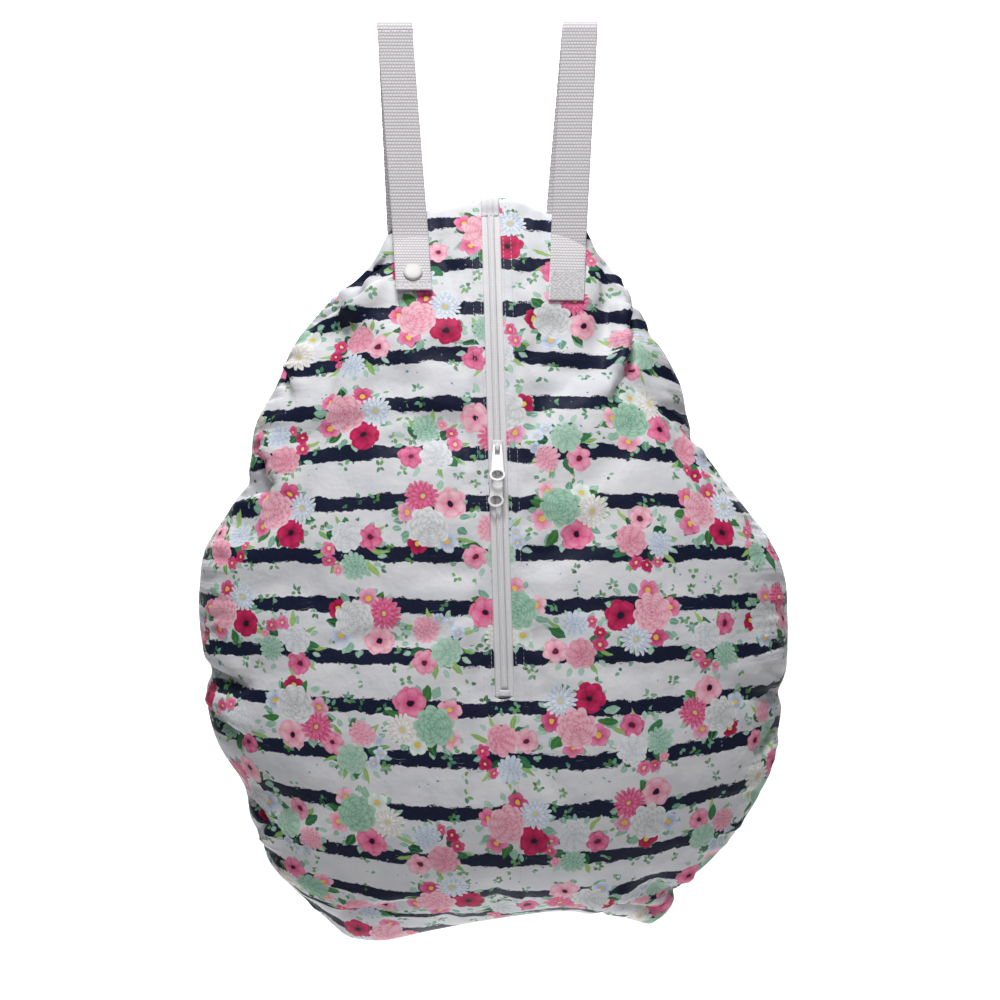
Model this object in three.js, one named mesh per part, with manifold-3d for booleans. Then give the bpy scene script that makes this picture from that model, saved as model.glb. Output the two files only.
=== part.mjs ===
// A hanging wet bag of waterproof printed cloth: a soft hollow body with a zip down its front,
// carried by two loops of webbing that hang over a rail. Millimetres, +Z up, front toward -Y.
// The origin is on the rail, midway between the loops, at the underside of their crests.
import * as THREE from "three";
import { mergeVertices } from "three/addons/utils/BufferGeometryUtils.js";
import Module from "manifold-3d";

// Cloth body
const bagWidth = 420;
const bagHeight = 528;
const bagDepth = 175;
const wall = 2;
const seamAllowance = 4;
const strapDrop = 123.5; // from the rail down to the crest of the cloth
const gatherPitch = 37; // between the puckers that run in from the side seams
const gatherDepth = 3.2;
const gatherReach = 30;

// Webbing loops
const railDiameter = 12;
const strapWidth = 25;
const strapThickness = 1.8;
const strapSpacing = 131.7; // between the two crests
const leftStrapLength = 192; // from the rail down to the front end
const rightStrapLength = 199;
const backStrapLength = 195;
const leftStrapLean = 15; // how far the front end lies nearer the middle than the crest
const rightStrapLean = 11;
const strapTouch = 31.7; // from the crest of the cloth down to where the legs lie flat on it
const strapSkew = 6; // how far the back end lies to the left of the front end

// Zip
const zipDrop = 350; // from the crest of the cloth to the end of the slit
const slitWidth = 13;
const slopeReach = 8; // above and below a piece, over which the zip's slope is taken
const tapeWidth = 30;
const tapeThickness = 0.9;
const coilWidth = 5;
const coilThickness = 1.5;
const stopLength = 4;
const stopRise = 1.2;
const foldFront = 9; // how far the folded tape end reaches down over the crest
const foldBack = 7;

// Sliders and pull tabs
const upperSliderDrop = 179.5; // from the crest of the cloth to the middle of the slider
const sliderPitch = 15.8;
const sliderLength = 11.4;
const sliderPlate = 1;
const sliderFlange = 0.9;
const bridgeLength = 6.6;
const bridgeWidth = 2.6;
const bridgeBar = 1;
const bridgeCrown = 0.8; // thickness of the bridge over its hole
const bridgeChamfer = 0.3;
const plateChamfer = 0.4;
const pullThickness = 1.1;
const pullLength = 27.5;
const pullBar = 1.3;
const pullNeckWidth = 6.2;
const pullTaper = 0.03; // how much narrower each side gets along the neck, per length
const pullCorner = 0.4; // half the flat at the upper end of the outline
const ringWidth = 11;
const ringHeight = 9.4;
const ringWeb = 1.6;
const lowerPullTilt = 4; // degrees, in the plane of the tab
const lowerPullLift = 3; // degrees away from the zip

// Press snap of the left loop
const snapDiameter = 13.4;
const snapHeight = 2.4;
const studDiameter = 10.5;
const studHeight = 2.2;
const snapFromEnd = 12;

const clearance = 0.3;
const seat = 0.55; // webbing to the curved cloth that it lies on

// Colours from the photo
const cloth = { color: 0xdfe1e6, roughness: 0.62 };
const webbing = { color: 0xd4d0d0, roughness: 0.85 };
const zipWhite = { color: 0xe6e5e8, roughness: 0.6 };
const coilWhite = { color: 0xeeedf0, roughness: 0.4 };
const enamel = { color: 0xe9e8ec, roughness: 0.35, metalness: 0.1 };
const plastic = { color: 0xf2f2f4, roughness: 0.28 };

// The side edges and the fullness of the cloth, by share of the way down the side seam.
// left and right are shares of bagWidth from the middle of the loops, front and back of bagDepth.
const sections = [
  { down: 0, left: -0.273, right: 0.238, front: 0.15, back: 0.13 },
  { down: 0.065, left: -0.327, right: 0.287, front: 0.22, back: 0.19 },
  { down: 0.13, left: -0.357, right: 0.326, front: 0.28, back: 0.24 },
  { down: 0.195, left: -0.393, right: 0.341, front: 0.33, back: 0.29 },
  { down: 0.26, left: -0.403, right: 0.378, front: 0.37, back: 0.33 },
  { down: 0.325, left: -0.433, right: 0.426, front: 0.41, back: 0.37 },
  { down: 0.39, left: -0.476, right: 0.477, front: 0.45, back: 0.41 },
  { down: 0.45, left: -0.487, right: 0.503, front: 0.48, back: 0.43 },
  { down: 0.515, left: -0.487, right: 0.508, front: 0.5, back: 0.45 },
  { down: 0.58, left: -0.477, right: 0.508, front: 0.515, back: 0.46 },
  { down: 0.645, left: -0.474, right: 0.502, front: 0.52, back: 0.46 },
  { down: 0.71, left: -0.454, right: 0.492, front: 0.52, back: 0.46 },
  { down: 0.775, left: -0.411, right: 0.48, front: 0.51, back: 0.45 },
  { down: 0.84, left: -0.398, right: 0.442, front: 0.49, back: 0.43 },
  { down: 0.905, left: -0.364, right: 0.387, front: 0.45, back: 0.4 },
  { down: 0.95, left: -0.317, right: 0.336, front: 0.41, back: 0.36 },
  { down: 1, left: -0.259, right: 0.312, front: 0.36, back: 0.31 },
];

// The top and bottom seams, by share of the way across, as shares of bagHeight below the crest.
const topSeam = [
  { across: 0, down: 0.144 },
  { across: 0.083, down: 0.117 },
  { across: 0.15, down: 0.09 },
  { across: 0.18, down: 0.07 },
  { across: 0.205, down: 0.047 },
  { across: 0.25, down: 0.029 },
  { across: 0.33, down: 0.017 },
  { across: 0.43, down: 0.009 },
  { across: 0.53, down: 0 },
  { across: 0.63, down: 0.002 },
  { across: 0.725, down: 0.02 },
  { across: 0.81, down: 0.026 },
  { across: 0.86, down: 0.04 },
  { across: 0.89, down: 0.07 },
  { across: 0.94, down: 0.093 },
  { across: 1, down: 0.144 },
];
const bottomSeam = [
  { across: 0, down: 0.978 },
  { across: 0.05, down: 0.993 },
  { across: 0.14, down: 0.999 },
  { across: 0.27, down: 0.987 },
  { across: 0.45, down: 0.972 },
  { across: 0.67, down: 0.96 },
  { across: 0.85, down: 0.967 },
  { across: 0.935, down: 0.976 },
  { across: 0.98, down: 0.964 },
  { across: 1, down: 0.951 },
];

// Nicks in the side edges where a crease runs in: pull is a share of bagWidth, span and down of
// bagHeight.
const nicks = [
  { edge: "left", down: 0.385, span: 0.012, pull: 0.012 },
  { edge: "left", down: 0.635, span: 0.014, pull: 0.012 },
  { edge: "left", down: 0.86, span: 0.016, pull: 0.01 },
  { edge: "right", down: 0.175, span: 0.012, pull: 0.016 },
  { edge: "right", down: 0.33, span: 0.014, pull: 0.014 },
  { edge: "right", down: 0.663, span: 0.012, pull: 0.012 },
  { edge: "right", down: 0.925, span: 0.01, pull: 0.012 },
];

// Creases (depth above 0) and rolls (depth below 0) of the front panel, from one end to the other.
// x is a share of bagWidth, z and width are shares of bagHeight, depth is a share of bagDepth.
const folds = [
  { name: "pinch at the left loop", x: -0.148, z: 0.086, toX: -0.265, toZ: 0.137, width: 0.012, depth: 0.04 },
  { name: "left shoulder fold", x: -0.323, z: 0.184, toX: -0.337, toZ: 0.253, width: 0.013, depth: 0.04 },
  { name: "left V, upper arm", x: -0.381, z: 0.341, toX: -0.362, toZ: 0.39, width: 0.014, depth: 0.05 },
  { name: "left V, lower arm", x: -0.362, z: 0.39, toX: -0.413, toZ: 0.402, width: 0.014, depth: 0.05 },
  { name: "left waist crease", x: -0.46, z: 0.632, toX: -0.413, toZ: 0.647, width: 0.014, depth: 0.04 },
  { name: "left hip fold", x: -0.472, z: 0.684, toX: -0.418, toZ: 0.713, width: 0.014, depth: 0.035 },
  { name: "left heel pleat", x: -0.396, z: 0.805, toX: -0.367, toZ: 0.826, width: 0.012, depth: 0.03 },
  { name: "right shoulder roll", x: 0.226, z: 0.159, toX: 0.222, toZ: 0.253, width: 0.012, depth: -0.03 },
  { name: "right shoulder crease", x: 0.236, z: 0.177, toX: 0.231, toZ: 0.226, width: 0.01, depth: 0.06 },
  { name: "right shoulder dent", x: 0.2, z: 0.157, toX: 0.19, toZ: 0.2, width: 0.02, depth: 0.03 },
  { name: "right waist pleat", x: 0.502, z: 0.65, toX: 0.482, toZ: 0.664, width: 0.014, depth: 0.035 },
  { name: "right hip fold", x: 0.498, z: 0.7, toX: 0.461, toZ: 0.731, width: 0.014, depth: 0.035 },
  { name: "right toe crease", x: 0.3, z: 0.922, toX: 0.343, toZ: 0.915, width: 0.012, depth: 0.05 },
  { name: "dent beside the left loop", x: -0.082, z: 0.066, toX: -0.07, toZ: 0.1, width: 0.02, depth: 0.025 },
  { name: "dent under the right loop", x: 0.125, z: 0.19, toX: 0.12, toZ: 0.26, width: 0.03, depth: 0.03 },
];

// The folded tape end, from the front over the crest to the back: share is of its reach there.
const foldStations = [
  { face: "front", share: 1 },
  { face: "front", share: 0.6 },
  { face: "front", share: 0.25 },
  { face: "crest", share: 1 },
  { face: "back", share: 0.3 },
  { face: "back", share: 1 },
];

// The snap cap from the strap to its crown: out is a share of its radius, up of its height.
const capProfile = [
  { out: 0, up: 0 },
  { out: 0.97, up: 0 },
  { out: 1, up: 0.35 },
  { out: 0.9, up: 0.75 },
  { out: 0.6, up: 0.95 },
  { out: 0, up: 1 },
];

// The zip leans a little to the right on its way down, both as shares of bagWidth.
const zipStart = 0.0045;
const zipLean = 0.0375;

// How full the panels stay toward their seams: a higher power keeps the middle flatter.
const acrossPower = 2.2;
const acrossRound = 0.57;
const topPower = 4.5;
const bottomPower = 8;
const downRound = 0.55;

// Facets
const sideColumns = 10;
const zipRows = 28;
const lowerRows = 14;
const rowCrowding = 1.25; // above 1 the rows and columns draw together toward the seams
const columnCrowding = 1.15;
const stationCrowding = 1.15;
const strapLanes = 3;
const legStations = 15;
const crestStations = 8;

const wasm = await Module();
wasm.setup();

const lerp = THREE.MathUtils.lerp;
const radians = THREE.MathUtils.degToRad;

// A smooth curve through the rows of a table, read at one value of its key column.
function read(table, key, column, value) {
  const last = table.length - 1;
  let i = table.findIndex((row) => row[key] >= value);
  if (i < 1) i = value > 0.5 ? last : 1;
  const slope = (n) => {
    const before = table[Math.max(n - 1, 0)];
    const after = table[Math.min(n + 1, last)];
    return (after[column] - before[column]) / (after[key] - before[key]);
  };
  const [from, to] = [table[i - 1], table[i]];
  const span = to[key] - from[key];
  const u = THREE.MathUtils.clamp((value - from[key]) / span, 0, 1);
  const start = from[column] * (1 + 2 * u) * (1 - u) ** 2 + slope(i - 1) * span * u * (1 - u) ** 2;
  const end = to[column] * (3 - 2 * u) * u ** 2 + slope(i) * span * (u - 1) * u ** 2;
  return start + end;
}

const crestZ = -strapDrop;

// The x of a side edge, at a share of the way down the side seam.
function edgeX(edge, down) {
  const across = edge === "left" ? 0 : 1;
  const [top, bottom] = [topSeam, bottomSeam].map((seam) => read(seam, "across", "down", across));
  const height = lerp(top, bottom, down);
  const inward = edge === "left" ? 1 : -1;
  let x = read(sections, "down", edge, down);
  for (const nick of nicks.filter((n) => n.edge === edge)) {
    x += inward * nick.pull * Math.exp(-(((height - nick.down) / nick.span) ** 2));
  }
  return x * bagWidth;
}

// The z of the panels at shares of the way across and down.
function panelZ(across, down) {
  const top = read(topSeam, "across", "down", across);
  const bottom = read(bottomSeam, "across", "down", across);
  return crestZ - bagHeight * lerp(top, bottom, down);
}

// The shares across and down at which the panels pass a point of the front view.
function sharesAt(x, z) {
  let [across, down] = [0.5, 0.5];
  for (let pass = 0; pass < 12; pass++) {
    const [top, bottom] = [panelZ(across, 0), panelZ(across, 1)];
    down = THREE.MathUtils.clamp((z - top) / (bottom - top), 0, 1);
    const [left, right] = [edgeX("left", down), edgeX("right", down)];
    across = THREE.MathUtils.clamp((x - left) / (right - left), 0, 1);
  }
  return { across, down };
}

// How deep a fold presses the front panel in at a point of the front view.
function foldDepth(fold, x, z) {
  const start = new THREE.Vector2(fold.x * bagWidth, crestZ - fold.z * bagHeight);
  const end = new THREE.Vector2(fold.toX * bagWidth, crestZ - fold.toZ * bagHeight);
  const line = end.clone().sub(start);
  const point = new THREE.Vector2(x, z).sub(start);
  const along = THREE.MathUtils.clamp(point.dot(line) / line.lengthSq(), 0, 1);
  const distance = point.sub(line.multiplyScalar(along)).length();
  return fold.depth * bagDepth * Math.exp(-((distance / (fold.width * bagHeight)) ** 2));
}

// How far the cloth stands off the seam plane, front or back, at shares across and down.
function fullness(face, across, down, x, z) {
  const roundAcross = (1 - Math.abs(2 * across - 1) ** acrossPower) ** acrossRound;
  const roundDown = (1 - Math.abs(2 * down - 1) ** (down < 0.5 ? topPower : bottomPower)) ** downRound;
  const round = roundAcross * roundDown;
  let depth = read(sections, "down", face, down) * bagDepth * round;
  const fromEdge = Math.min(x - edgeX("left", down), edgeX("right", down) - x);
  const wave = 1 - Math.cos((2 * Math.PI * (z - crestZ)) / gatherPitch);
  depth -= (gatherDepth / 2) * wave * Math.exp(-fromEdge / gatherReach) * round;
  if (face === "front") {
    const fade = Math.min(1, round * 2);
    for (const fold of folds) depth -= fade * foldDepth(fold, x, z);
  }
  return depth;
}

// The y of the cloth's outer face at a point of the front view.
function clothY(face, x, z) {
  const { across, down } = sharesAt(x, z);
  const depth = fullness(face, across, down, x, z);
  return face === "front" ? -depth : depth;
}

// One over the share of the cloth's normal that points along y: how much a wall or a gap widens
// when it is measured along y.
function slant(face, x, z) {
  const step = 2;
  const alongX = (clothY(face, x + step, z) - clothY(face, x - step, z)) / (2 * step);
  const alongZ = (clothY(face, x, z + step) - clothY(face, x, z - step)) / (2 * step);
  return Math.min(Math.hypot(1, alongX, alongZ), 2.5);
}

function zipX(z) {
  return bagWidth * (zipStart + (zipLean * (crestZ - z)) / bagHeight);
}

// Turns a list of corner triples into a closed geometry whose faces point out.
function closedGeometry(corners, triangles) {
  const volume = triangles.reduce((sum, [a, b, c]) => {
    return sum + corners[a].dot(corners[b].clone().cross(corners[c]));
  }, 0);
  const faces = volume < 0 ? triangles.map(([a, b, c]) => [a, c, b]) : triangles;
  const geometry = new THREE.BufferGeometry();
  const numbers = corners.flatMap((point) => point.toArray());
  geometry.setAttribute("position", new THREE.Float32BufferAttribute(numbers, 3));
  geometry.setIndex(faces.flat());
  geometry.computeVertexNormals();
  return geometry;
}

// A closed sheet on a grid of points, thickened to one side by the grid's own normals.
function sheet(grid, thickness) {
  const rows = grid.length;
  const columns = grid[0].length;
  const within = (n, count) => THREE.MathUtils.clamp(n, 0, count - 1);
  const at = (i, j) => grid[within(i, rows)][within(j, columns)];
  const corners = [];
  for (const lift of [0, thickness]) {
    for (let i = 0; i < rows; i++) {
      for (let j = 0; j < columns; j++) {
        const down = at(i + 1, j).clone().sub(at(i - 1, j));
        const across = at(i, j + 1).clone().sub(at(i, j - 1));
        corners.push(at(i, j).clone().addScaledVector(across.cross(down).normalize(), lift));
      }
    }
  }
  const index = (layer, i, j) => (layer * rows + i) * columns + j;
  const triangles = [];
  const quad = (a, b, c, d) => triangles.push([a, b, c], [a, c, d]);
  for (let i = 0; i + 1 < rows; i++) {
    for (let j = 0; j + 1 < columns; j++) {
      quad(index(0, i, j), index(0, i, j + 1), index(0, i + 1, j + 1), index(0, i + 1, j));
      quad(index(1, i, j), index(1, i + 1, j), index(1, i + 1, j + 1), index(1, i, j + 1));
    }
    quad(index(0, i, 0), index(0, i + 1, 0), index(1, i + 1, 0), index(1, i, 0));
    const end = columns - 1;
    quad(index(0, i, end), index(1, i, end), index(1, i + 1, end), index(0, i + 1, end));
  }
  for (let j = 0; j + 1 < columns; j++) {
    quad(index(0, 0, j), index(1, 0, j), index(1, 0, j + 1), index(0, 0, j + 1));
    const end = rows - 1;
    quad(index(0, end, j), index(0, end, j + 1), index(1, end, j + 1), index(1, end, j));
  }
  return closedGeometry(corners, triangles);
}

// The shares down of the body's rows: one row lies where the slit ends.
function rowShares() {
  const end = sharesAt(zipX(crestZ - zipDrop), crestZ - zipDrop).down;
  const shares = [];
  for (let i = 0; i < zipRows; i++) shares.push(end * (i / zipRows) ** rowCrowding);
  for (let i = 0; i <= lowerRows; i++) shares.push(1 - (1 - end) * (1 - i / lowerRows) ** rowCrowding);
  return shares;
}

// The x of a row's columns: even from each side seam to the zip tape, with the slit between.
function rowColumns(down) {
  const [left, right] = [edgeX("left", down), edgeX("right", down)];
  let middle = zipX(crestZ);
  for (let pass = 0; pass < 6; pass++) {
    middle = zipX(panelZ((middle - left) / (right - left), down));
  }
  const toTape = (edge, tapeEdge) => Array.from({ length: sideColumns + 1 }, (_, j) => {
    return lerp(edge, tapeEdge, Math.sin((Math.PI / 2) * (j / sideColumns)) ** columnCrowding);
  });
  return [
    ...toTape(left, middle - tapeWidth / 2),
    middle - slitWidth / 2,
    middle,
    middle + slitWidth / 2,
    ...toTape(right, middle + tapeWidth / 2).reverse(),
  ];
}

// The outer faces of the cloth, front and back, as grids of points that share their seams.
function outerGrids() {
  const grids = { front: [], back: [] };
  for (const down of rowShares()) {
    const columns = rowColumns(down);
    const [left, right] = [columns[0], columns[columns.length - 1]];
    for (const face of ["front", "back"]) {
      grids[face].push(columns.map((x) => {
        const across = (x - left) / (right - left);
        const z = panelZ(across, down);
        const depth = fullness(face, across, down, x, z);
        return new THREE.Vector3(x, face === "front" ? -depth : depth, z);
      }));
    }
  }
  return grids;
}

// The inner faces: each point moved in by the wall, and the rim by the seam allowance.
function innerGrids(outer) {
  const last = outer.front.length - 1;
  const end = outer.front[0].length - 1;
  const inner = { front: [], back: [] };
  for (const face of ["front", "back"]) {
    const outward = face === "front" ? -1 : 1;
    inner[face] = outer[face].map((row, i) => row.map((point, j) => {
      const moved = point.clone();
      if (j === 0) moved.x += seamAllowance;
      if (j === end) moved.x -= seamAllowance;
      if (i === 0) moved.z -= seamAllowance;
      if (i === last) moved.z += seamAllowance;
      if (i === 0 || i === last || j === 0 || j === end) return moved.setY(0);
      const depth = Math.abs(point.y) - wall * slant(face, point.x, point.z);
      return moved.setY(outward * Math.max(depth, clearance));
    }));
  }
  return inner;
}

const outer = outerGrids();
const inner = innerGrids(outer);
const slitColumn = sideColumns + 1;

// The cloth body: outer and inner faces, joined round the rim of the slit.
function bodyGeometry() {
  const corners = [];
  const triangles = [];
  const last = outer.front.length - 1;
  const end = outer.front[0].length - 1;
  const skin = (grids) => {
    const numbers = { front: [], back: [] };
    for (const face of ["front", "back"]) {
      numbers[face] = grids[face].map((row, i) => row.map((point, j) => {
        const seam = i === 0 || i === last || j === 0 || j === end;
        if (face === "back" && seam) return numbers.front[i][j];
        return corners.push(point) - 1;
      }));
    }
    return numbers;
  };
  const quad = (a, b, c, d) => triangles.push([a, b, c], [a, c, d]);
  const inSlit = (i, j) => i >= 1 && i < zipRows && (j === slitColumn || j === slitColumn + 1);
  const layers = [skin(outer), skin(inner)];
  layers.forEach(({ front, back }, layer) => {
    const face = layer === 0 ? quad : (a, b, c, d) => quad(a, d, c, b);
    for (let i = 0; i < last; i++) {
      for (let j = 0; j < end; j++) {
        if (!inSlit(i, j)) face(front[i][j], front[i + 1][j], front[i + 1][j + 1], front[i][j + 1]);
        face(back[i][j], back[i][j + 1], back[i + 1][j + 1], back[i + 1][j]);
      }
    }
  });
  const rim = [];
  for (let i = 1; i < zipRows; i++) rim.push([i, slitColumn]);
  rim.push([zipRows, slitColumn], [zipRows, slitColumn + 1]);
  for (let i = zipRows; i > 1; i--) rim.push([i, slitColumn + 2]);
  rim.push([1, slitColumn + 2], [1, slitColumn + 1]);
  rim.forEach(([i, j], n) => {
    const [nextI, nextJ] = rim[(n + 1) % rim.length];
    const [out, within] = [layers[0].front, layers[1].front];
    quad(out[i][j], out[nextI][nextJ], within[nextI][nextJ], within[i][j]);
  });
  return closedGeometry(corners, triangles);
}

// The zip tape lies behind the slit, a clearance inside the wall and wider than the slit.
function tapeGrid() {
  const rows = [];
  for (let i = 1; i <= zipRows; i++) {
    const row = [];
    for (let j = sideColumns; j <= sideColumns + 4; j++) {
      const point = inner.front[i][j].clone();
      const edge = j === sideColumns ? clearance : j === sideColumns + 4 ? -clearance : 0;
      point.x += edge;
      point.y += clearance * slant("front", point.x, point.z);
      row.push(point);
    }
    rows.push(row);
  }
  return rows;
}

const tape = tapeGrid();

// A point on the front of the tape's middle line, at a z.
function tapePoint(z) {
  const middle = tape.map((row) => row[2]);
  const found = middle.findIndex((point) => point.z <= z);
  const below = found < 0 ? middle.length - 1 : Math.max(found, 1);
  const [high, low] = [middle[below - 1], middle[below]];
  return high.clone().lerp(low, (high.z - z) / (high.z - low.z));
}

// The coil lies on the tape, from the top of the slit to the bottom stop.
const stopZ = crestZ - zipDrop + stopLength + clearance;
function coilGeometry() {
  const grid = [];
  const heights = tape.map((row) => row[2].z).filter((z) => z > stopZ + 2 * stopLength);
  heights.push(stopZ + stopLength / 2 + stopRise);
  heights.forEach((z, i) => {
    const start = i === 0 ? z - coilThickness : z;
    const point = tapePoint(start);
    const lift = clearance * slant("front", point.x, point.z);
    grid.push([-1, 1].map((side) => {
      return new THREE.Vector3(point.x + (side * coilWidth) / 2, point.y - lift, start);
    }));
  });
  return sheet(grid, -coilThickness);
}

// The local frame of what sits on the zip: x across, -y out of the cloth, z up along the zip.
function onZip(drop) {
  const z = crestZ - drop;
  const [above, below] = [tapePoint(z + slopeReach), tapePoint(z - slopeReach)];
  const frame = new THREE.Group();
  frame.position.copy(tapePoint(z));
  frame.rotation.x = -Math.atan2(above.y - below.y, above.z - below.z);
  return frame;
}

function solidOf(geometry) {
  const bare = geometry.clone();
  bare.deleteAttribute("normal");
  bare.deleteAttribute("uv");
  const merged = mergeVertices(bare, 1e-4);
  const triVerts = new Uint32Array(merged.index.array);
  const vertProperties = merged.attributes.position.array;
  return new wasm.Manifold(new wasm.Mesh({ numProp: 3, vertProperties, triVerts }));
}

function geometryOf(solid) {
  const { vertProperties, triVerts } = solid.getMesh();
  const geometry = new THREE.BufferGeometry();
  geometry.setAttribute("position", new THREE.BufferAttribute(new Float32Array(vertProperties), 3));
  geometry.setIndex(new THREE.BufferAttribute(new Uint32Array(triVerts), 1));
  geometry.computeVertexNormals();
  return geometry;
}

// Heights above the tape of what is stacked on it.
const coilTop = clearance + coilThickness;
const plateTop = coilTop + clearance + sliderPlate;
const barSwing = Math.hypot(pullBar, pullThickness); // across the round that the turning bar sweeps
const bridgeHole = barSwing + 2 * clearance;
const bridgeTop = plateTop + bridgeHole + bridgeCrown;
const hingeHeight = plateTop + bridgeHole / 2;
const hingeRise = bridgeLength / 2 - bridgeBar - clearance - barSwing / 2;

// A slider: a channel over the coil, and on it the bridge that holds the pull tab.
function sliderGeometry() {
  const inside = coilWidth / 2 + clearance;
  const outside = inside + sliderFlange;
  const channel = new THREE.Shape([
    new THREE.Vector2(-outside, clearance),
    new THREE.Vector2(-inside, clearance),
    new THREE.Vector2(-inside, coilTop + clearance),
    new THREE.Vector2(inside, coilTop + clearance),
    new THREE.Vector2(inside, clearance),
    new THREE.Vector2(outside, clearance),
    new THREE.Vector2(outside, plateTop - plateChamfer),
    new THREE.Vector2(inside, plateTop),
    new THREE.Vector2(-inside, plateTop),
    new THREE.Vector2(-outside, plateTop - plateChamfer),
  ]);
  const plate = new THREE.ExtrudeGeometry(channel, { depth: sliderLength, bevelEnabled: false });
  plate.translate(0, 0, -sliderLength / 2);
  plate.scale(1, -1, 1);
  plate.index = flipped(plate);

  const half = bridgeLength / 2;
  const foot = plateTop - sliderPlate / 2;
  const arch = new THREE.Shape();
  arch.moveTo(-half, foot);
  arch.lineTo(half, foot);
  arch.lineTo(half - bridgeBar / 2, bridgeTop - bridgeChamfer);
  arch.lineTo(half - bridgeBar, bridgeTop);
  arch.lineTo(-half + bridgeBar, bridgeTop);
  arch.lineTo(-half + bridgeBar / 2, bridgeTop - bridgeChamfer);
  const hole = new THREE.Path();
  hole.moveTo(-half + bridgeBar, plateTop);
  hole.lineTo(-half + bridgeBar, plateTop + bridgeHole);
  hole.lineTo(half - bridgeBar, plateTop + bridgeHole);
  hole.lineTo(half - bridgeBar, plateTop);
  arch.holes.push(hole);
  const bridge = new THREE.ExtrudeGeometry(arch, { depth: bridgeWidth, bevelEnabled: false });
  bridge.translate(0, 0, -bridgeWidth / 2);
  bridge.rotateY(-Math.PI / 2);
  bridge.applyMatrix4(new THREE.Matrix4().makeBasis(
    new THREE.Vector3(1, 0, 0), new THREE.Vector3(0, -1, 0), new THREE.Vector3(0, 0, 1),
  ));
  bridge.index = flipped(bridge);
  return geometryOf(solidOf(plate).add(solidOf(bridge)));
}

// The reversed triangles of a geometry that was mirrored.
function flipped(geometry) {
  const count = geometry.index ? geometry.index.count : geometry.attributes.position.count;
  const order = Array.from({ length: count }, (_, i) => (geometry.index ? geometry.index.getX(i) : i));
  for (let i = 0; i < count; i += 3) [order[i + 1], order[i + 2]] = [order[i + 2], order[i + 1]];
  return new THREE.BufferAttribute(new Uint32Array(order), 1);
}

// A pull tab: a flat plate with a window round the bridge and a ring at its end. Its origin is the
// middle of the bar that lies under the bridge, and it hangs toward -z.
function pullGeometry() {
  const ringMiddle = pullLength - pullBar / 2 - ringHeight / 2;
  const end = pullLength - pullBar / 2;
  const steps = 22;
  const right = [];
  for (let i = 0; i <= steps; i++) {
    const reach = lerp(-pullBar / 2, end, Math.sin(((i / steps) * Math.PI) / 2));
    const neck = reach < ringMiddle ? pullNeckWidth / 2 - pullTaper * reach : 0;
    const fromRing = Math.min(1, Math.abs(reach - ringMiddle) / (ringHeight / 2));
    const ring = (ringWidth / 2) * Math.sqrt(1 - fromRing ** 2);
    right.push(new THREE.Vector2(Math.max(neck, ring, i === steps ? 0 : pullCorner), -reach));
  }
  const left = right.slice(0, -1).reverse().map((point) => new THREE.Vector2(-point.x, point.y));
  const outline = new THREE.Shape([...right, ...left].reverse());
  const window = new THREE.Path();
  const windowHalf = bridgeWidth / 2 + clearance;
  const windowEnd = bridgeLength + clearance;
  window.moveTo(-windowHalf, -pullBar / 2);
  window.lineTo(windowHalf, -pullBar / 2);
  window.lineTo(windowHalf, -windowEnd);
  window.lineTo(-windowHalf, -windowEnd);
  const eye = new THREE.Path();
  eye.absellipse(0, -ringMiddle, ringWidth / 2 - ringWeb, ringHeight / 2 - ringWeb, 0, 2 * Math.PI, true);
  outline.holes.push(window, eye);
  const plate = new THREE.ExtrudeGeometry(outline, {
    depth: pullThickness, bevelEnabled: false, curveSegments: 16,
  });
  plate.translate(0, 0, -pullThickness / 2);
  plate.rotateX(Math.PI / 2);
  return geometryOf(solidOf(plate));
}

// The angle at which the upper tab clears the lower slider's bridge and rests on it.
const reachToBridge = sliderPitch - bridgeLength / 2 - hingeRise;
const upperPullLift = Math.atan2(bridgeTop + clearance + pullThickness / 2 - hingeHeight, reachToBridge);

// One loop of webbing: up the front from its end, over the rail and down the back.
const loops = {
  left: { side: -1, length: leftStrapLength, lean: leftStrapLean, snapped: true },
  right: { side: 1, length: rightStrapLength, lean: rightStrapLean, snapped: false },
};

function loopX(loop, face, z) {
  const crest = (loop.side * strapSpacing) / 2;
  const share = -z / loop.length;
  const inward = -loop.side * loop.lean * share;
  return crest + inward - (face === "back" ? strapSkew * share : 0);
}

// How far a leg's inner face stands off the seam plane: straight from the rail to the cloth, then
// along the cloth.
function laneDepth(loop, face, x, z) {
  const touchZ = crestZ - strapTouch;
  const touch = Math.abs(clothY(face, loopX(loop, face, touchZ), touchZ));
  const hanging = z > touchZ ? lerp(railDiameter / 2, touch, z / touchZ) : 0;
  const lies = z < panelZ(sharesAt(x, z).across, 0);
  const along = lies ? Math.abs(clothY(face, x, z)) + seat * slant(face, x, z) : 0;
  return Math.max(hanging, along);
}

function lanesAt(loop, face, z) {
  const middle = loopX(loop, face, z);
  return Array.from({ length: strapLanes + 1 }, (_, k) => middle + strapWidth * (k / strapLanes - 0.5));
}

// The depths of a leg's lanes. The snapped end is stiff: flat across, straight, and off the cloth
// by the height of the stud.
function legDepths(loop, face, z) {
  const lanes = (level) => lanesAt(loop, face, level).map((x) => laneDepth(loop, face, x, level));
  if (face === "back" || !loop.snapped) return lanes(z);
  const stiffZ = -loop.length + 2 * snapFromEnd;
  const most = (level) => Math.max(...lanes(level));
  const lift = studHeight + clearance;
  if (z < stiffZ) {
    const growth = (most(stiffZ) - most(stiffZ + studHeight)) / studHeight;
    return lanes(z).map(() => most(stiffZ) + lift + growth * (stiffZ - z));
  }
  const stiff = THREE.MathUtils.smoothstep(stiffZ + 2 * snapFromEnd - z, 0, 2 * snapFromEnd);
  return lanes(z).map((depth) => lerp(depth, most(z) + lift, stiff));
}

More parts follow.
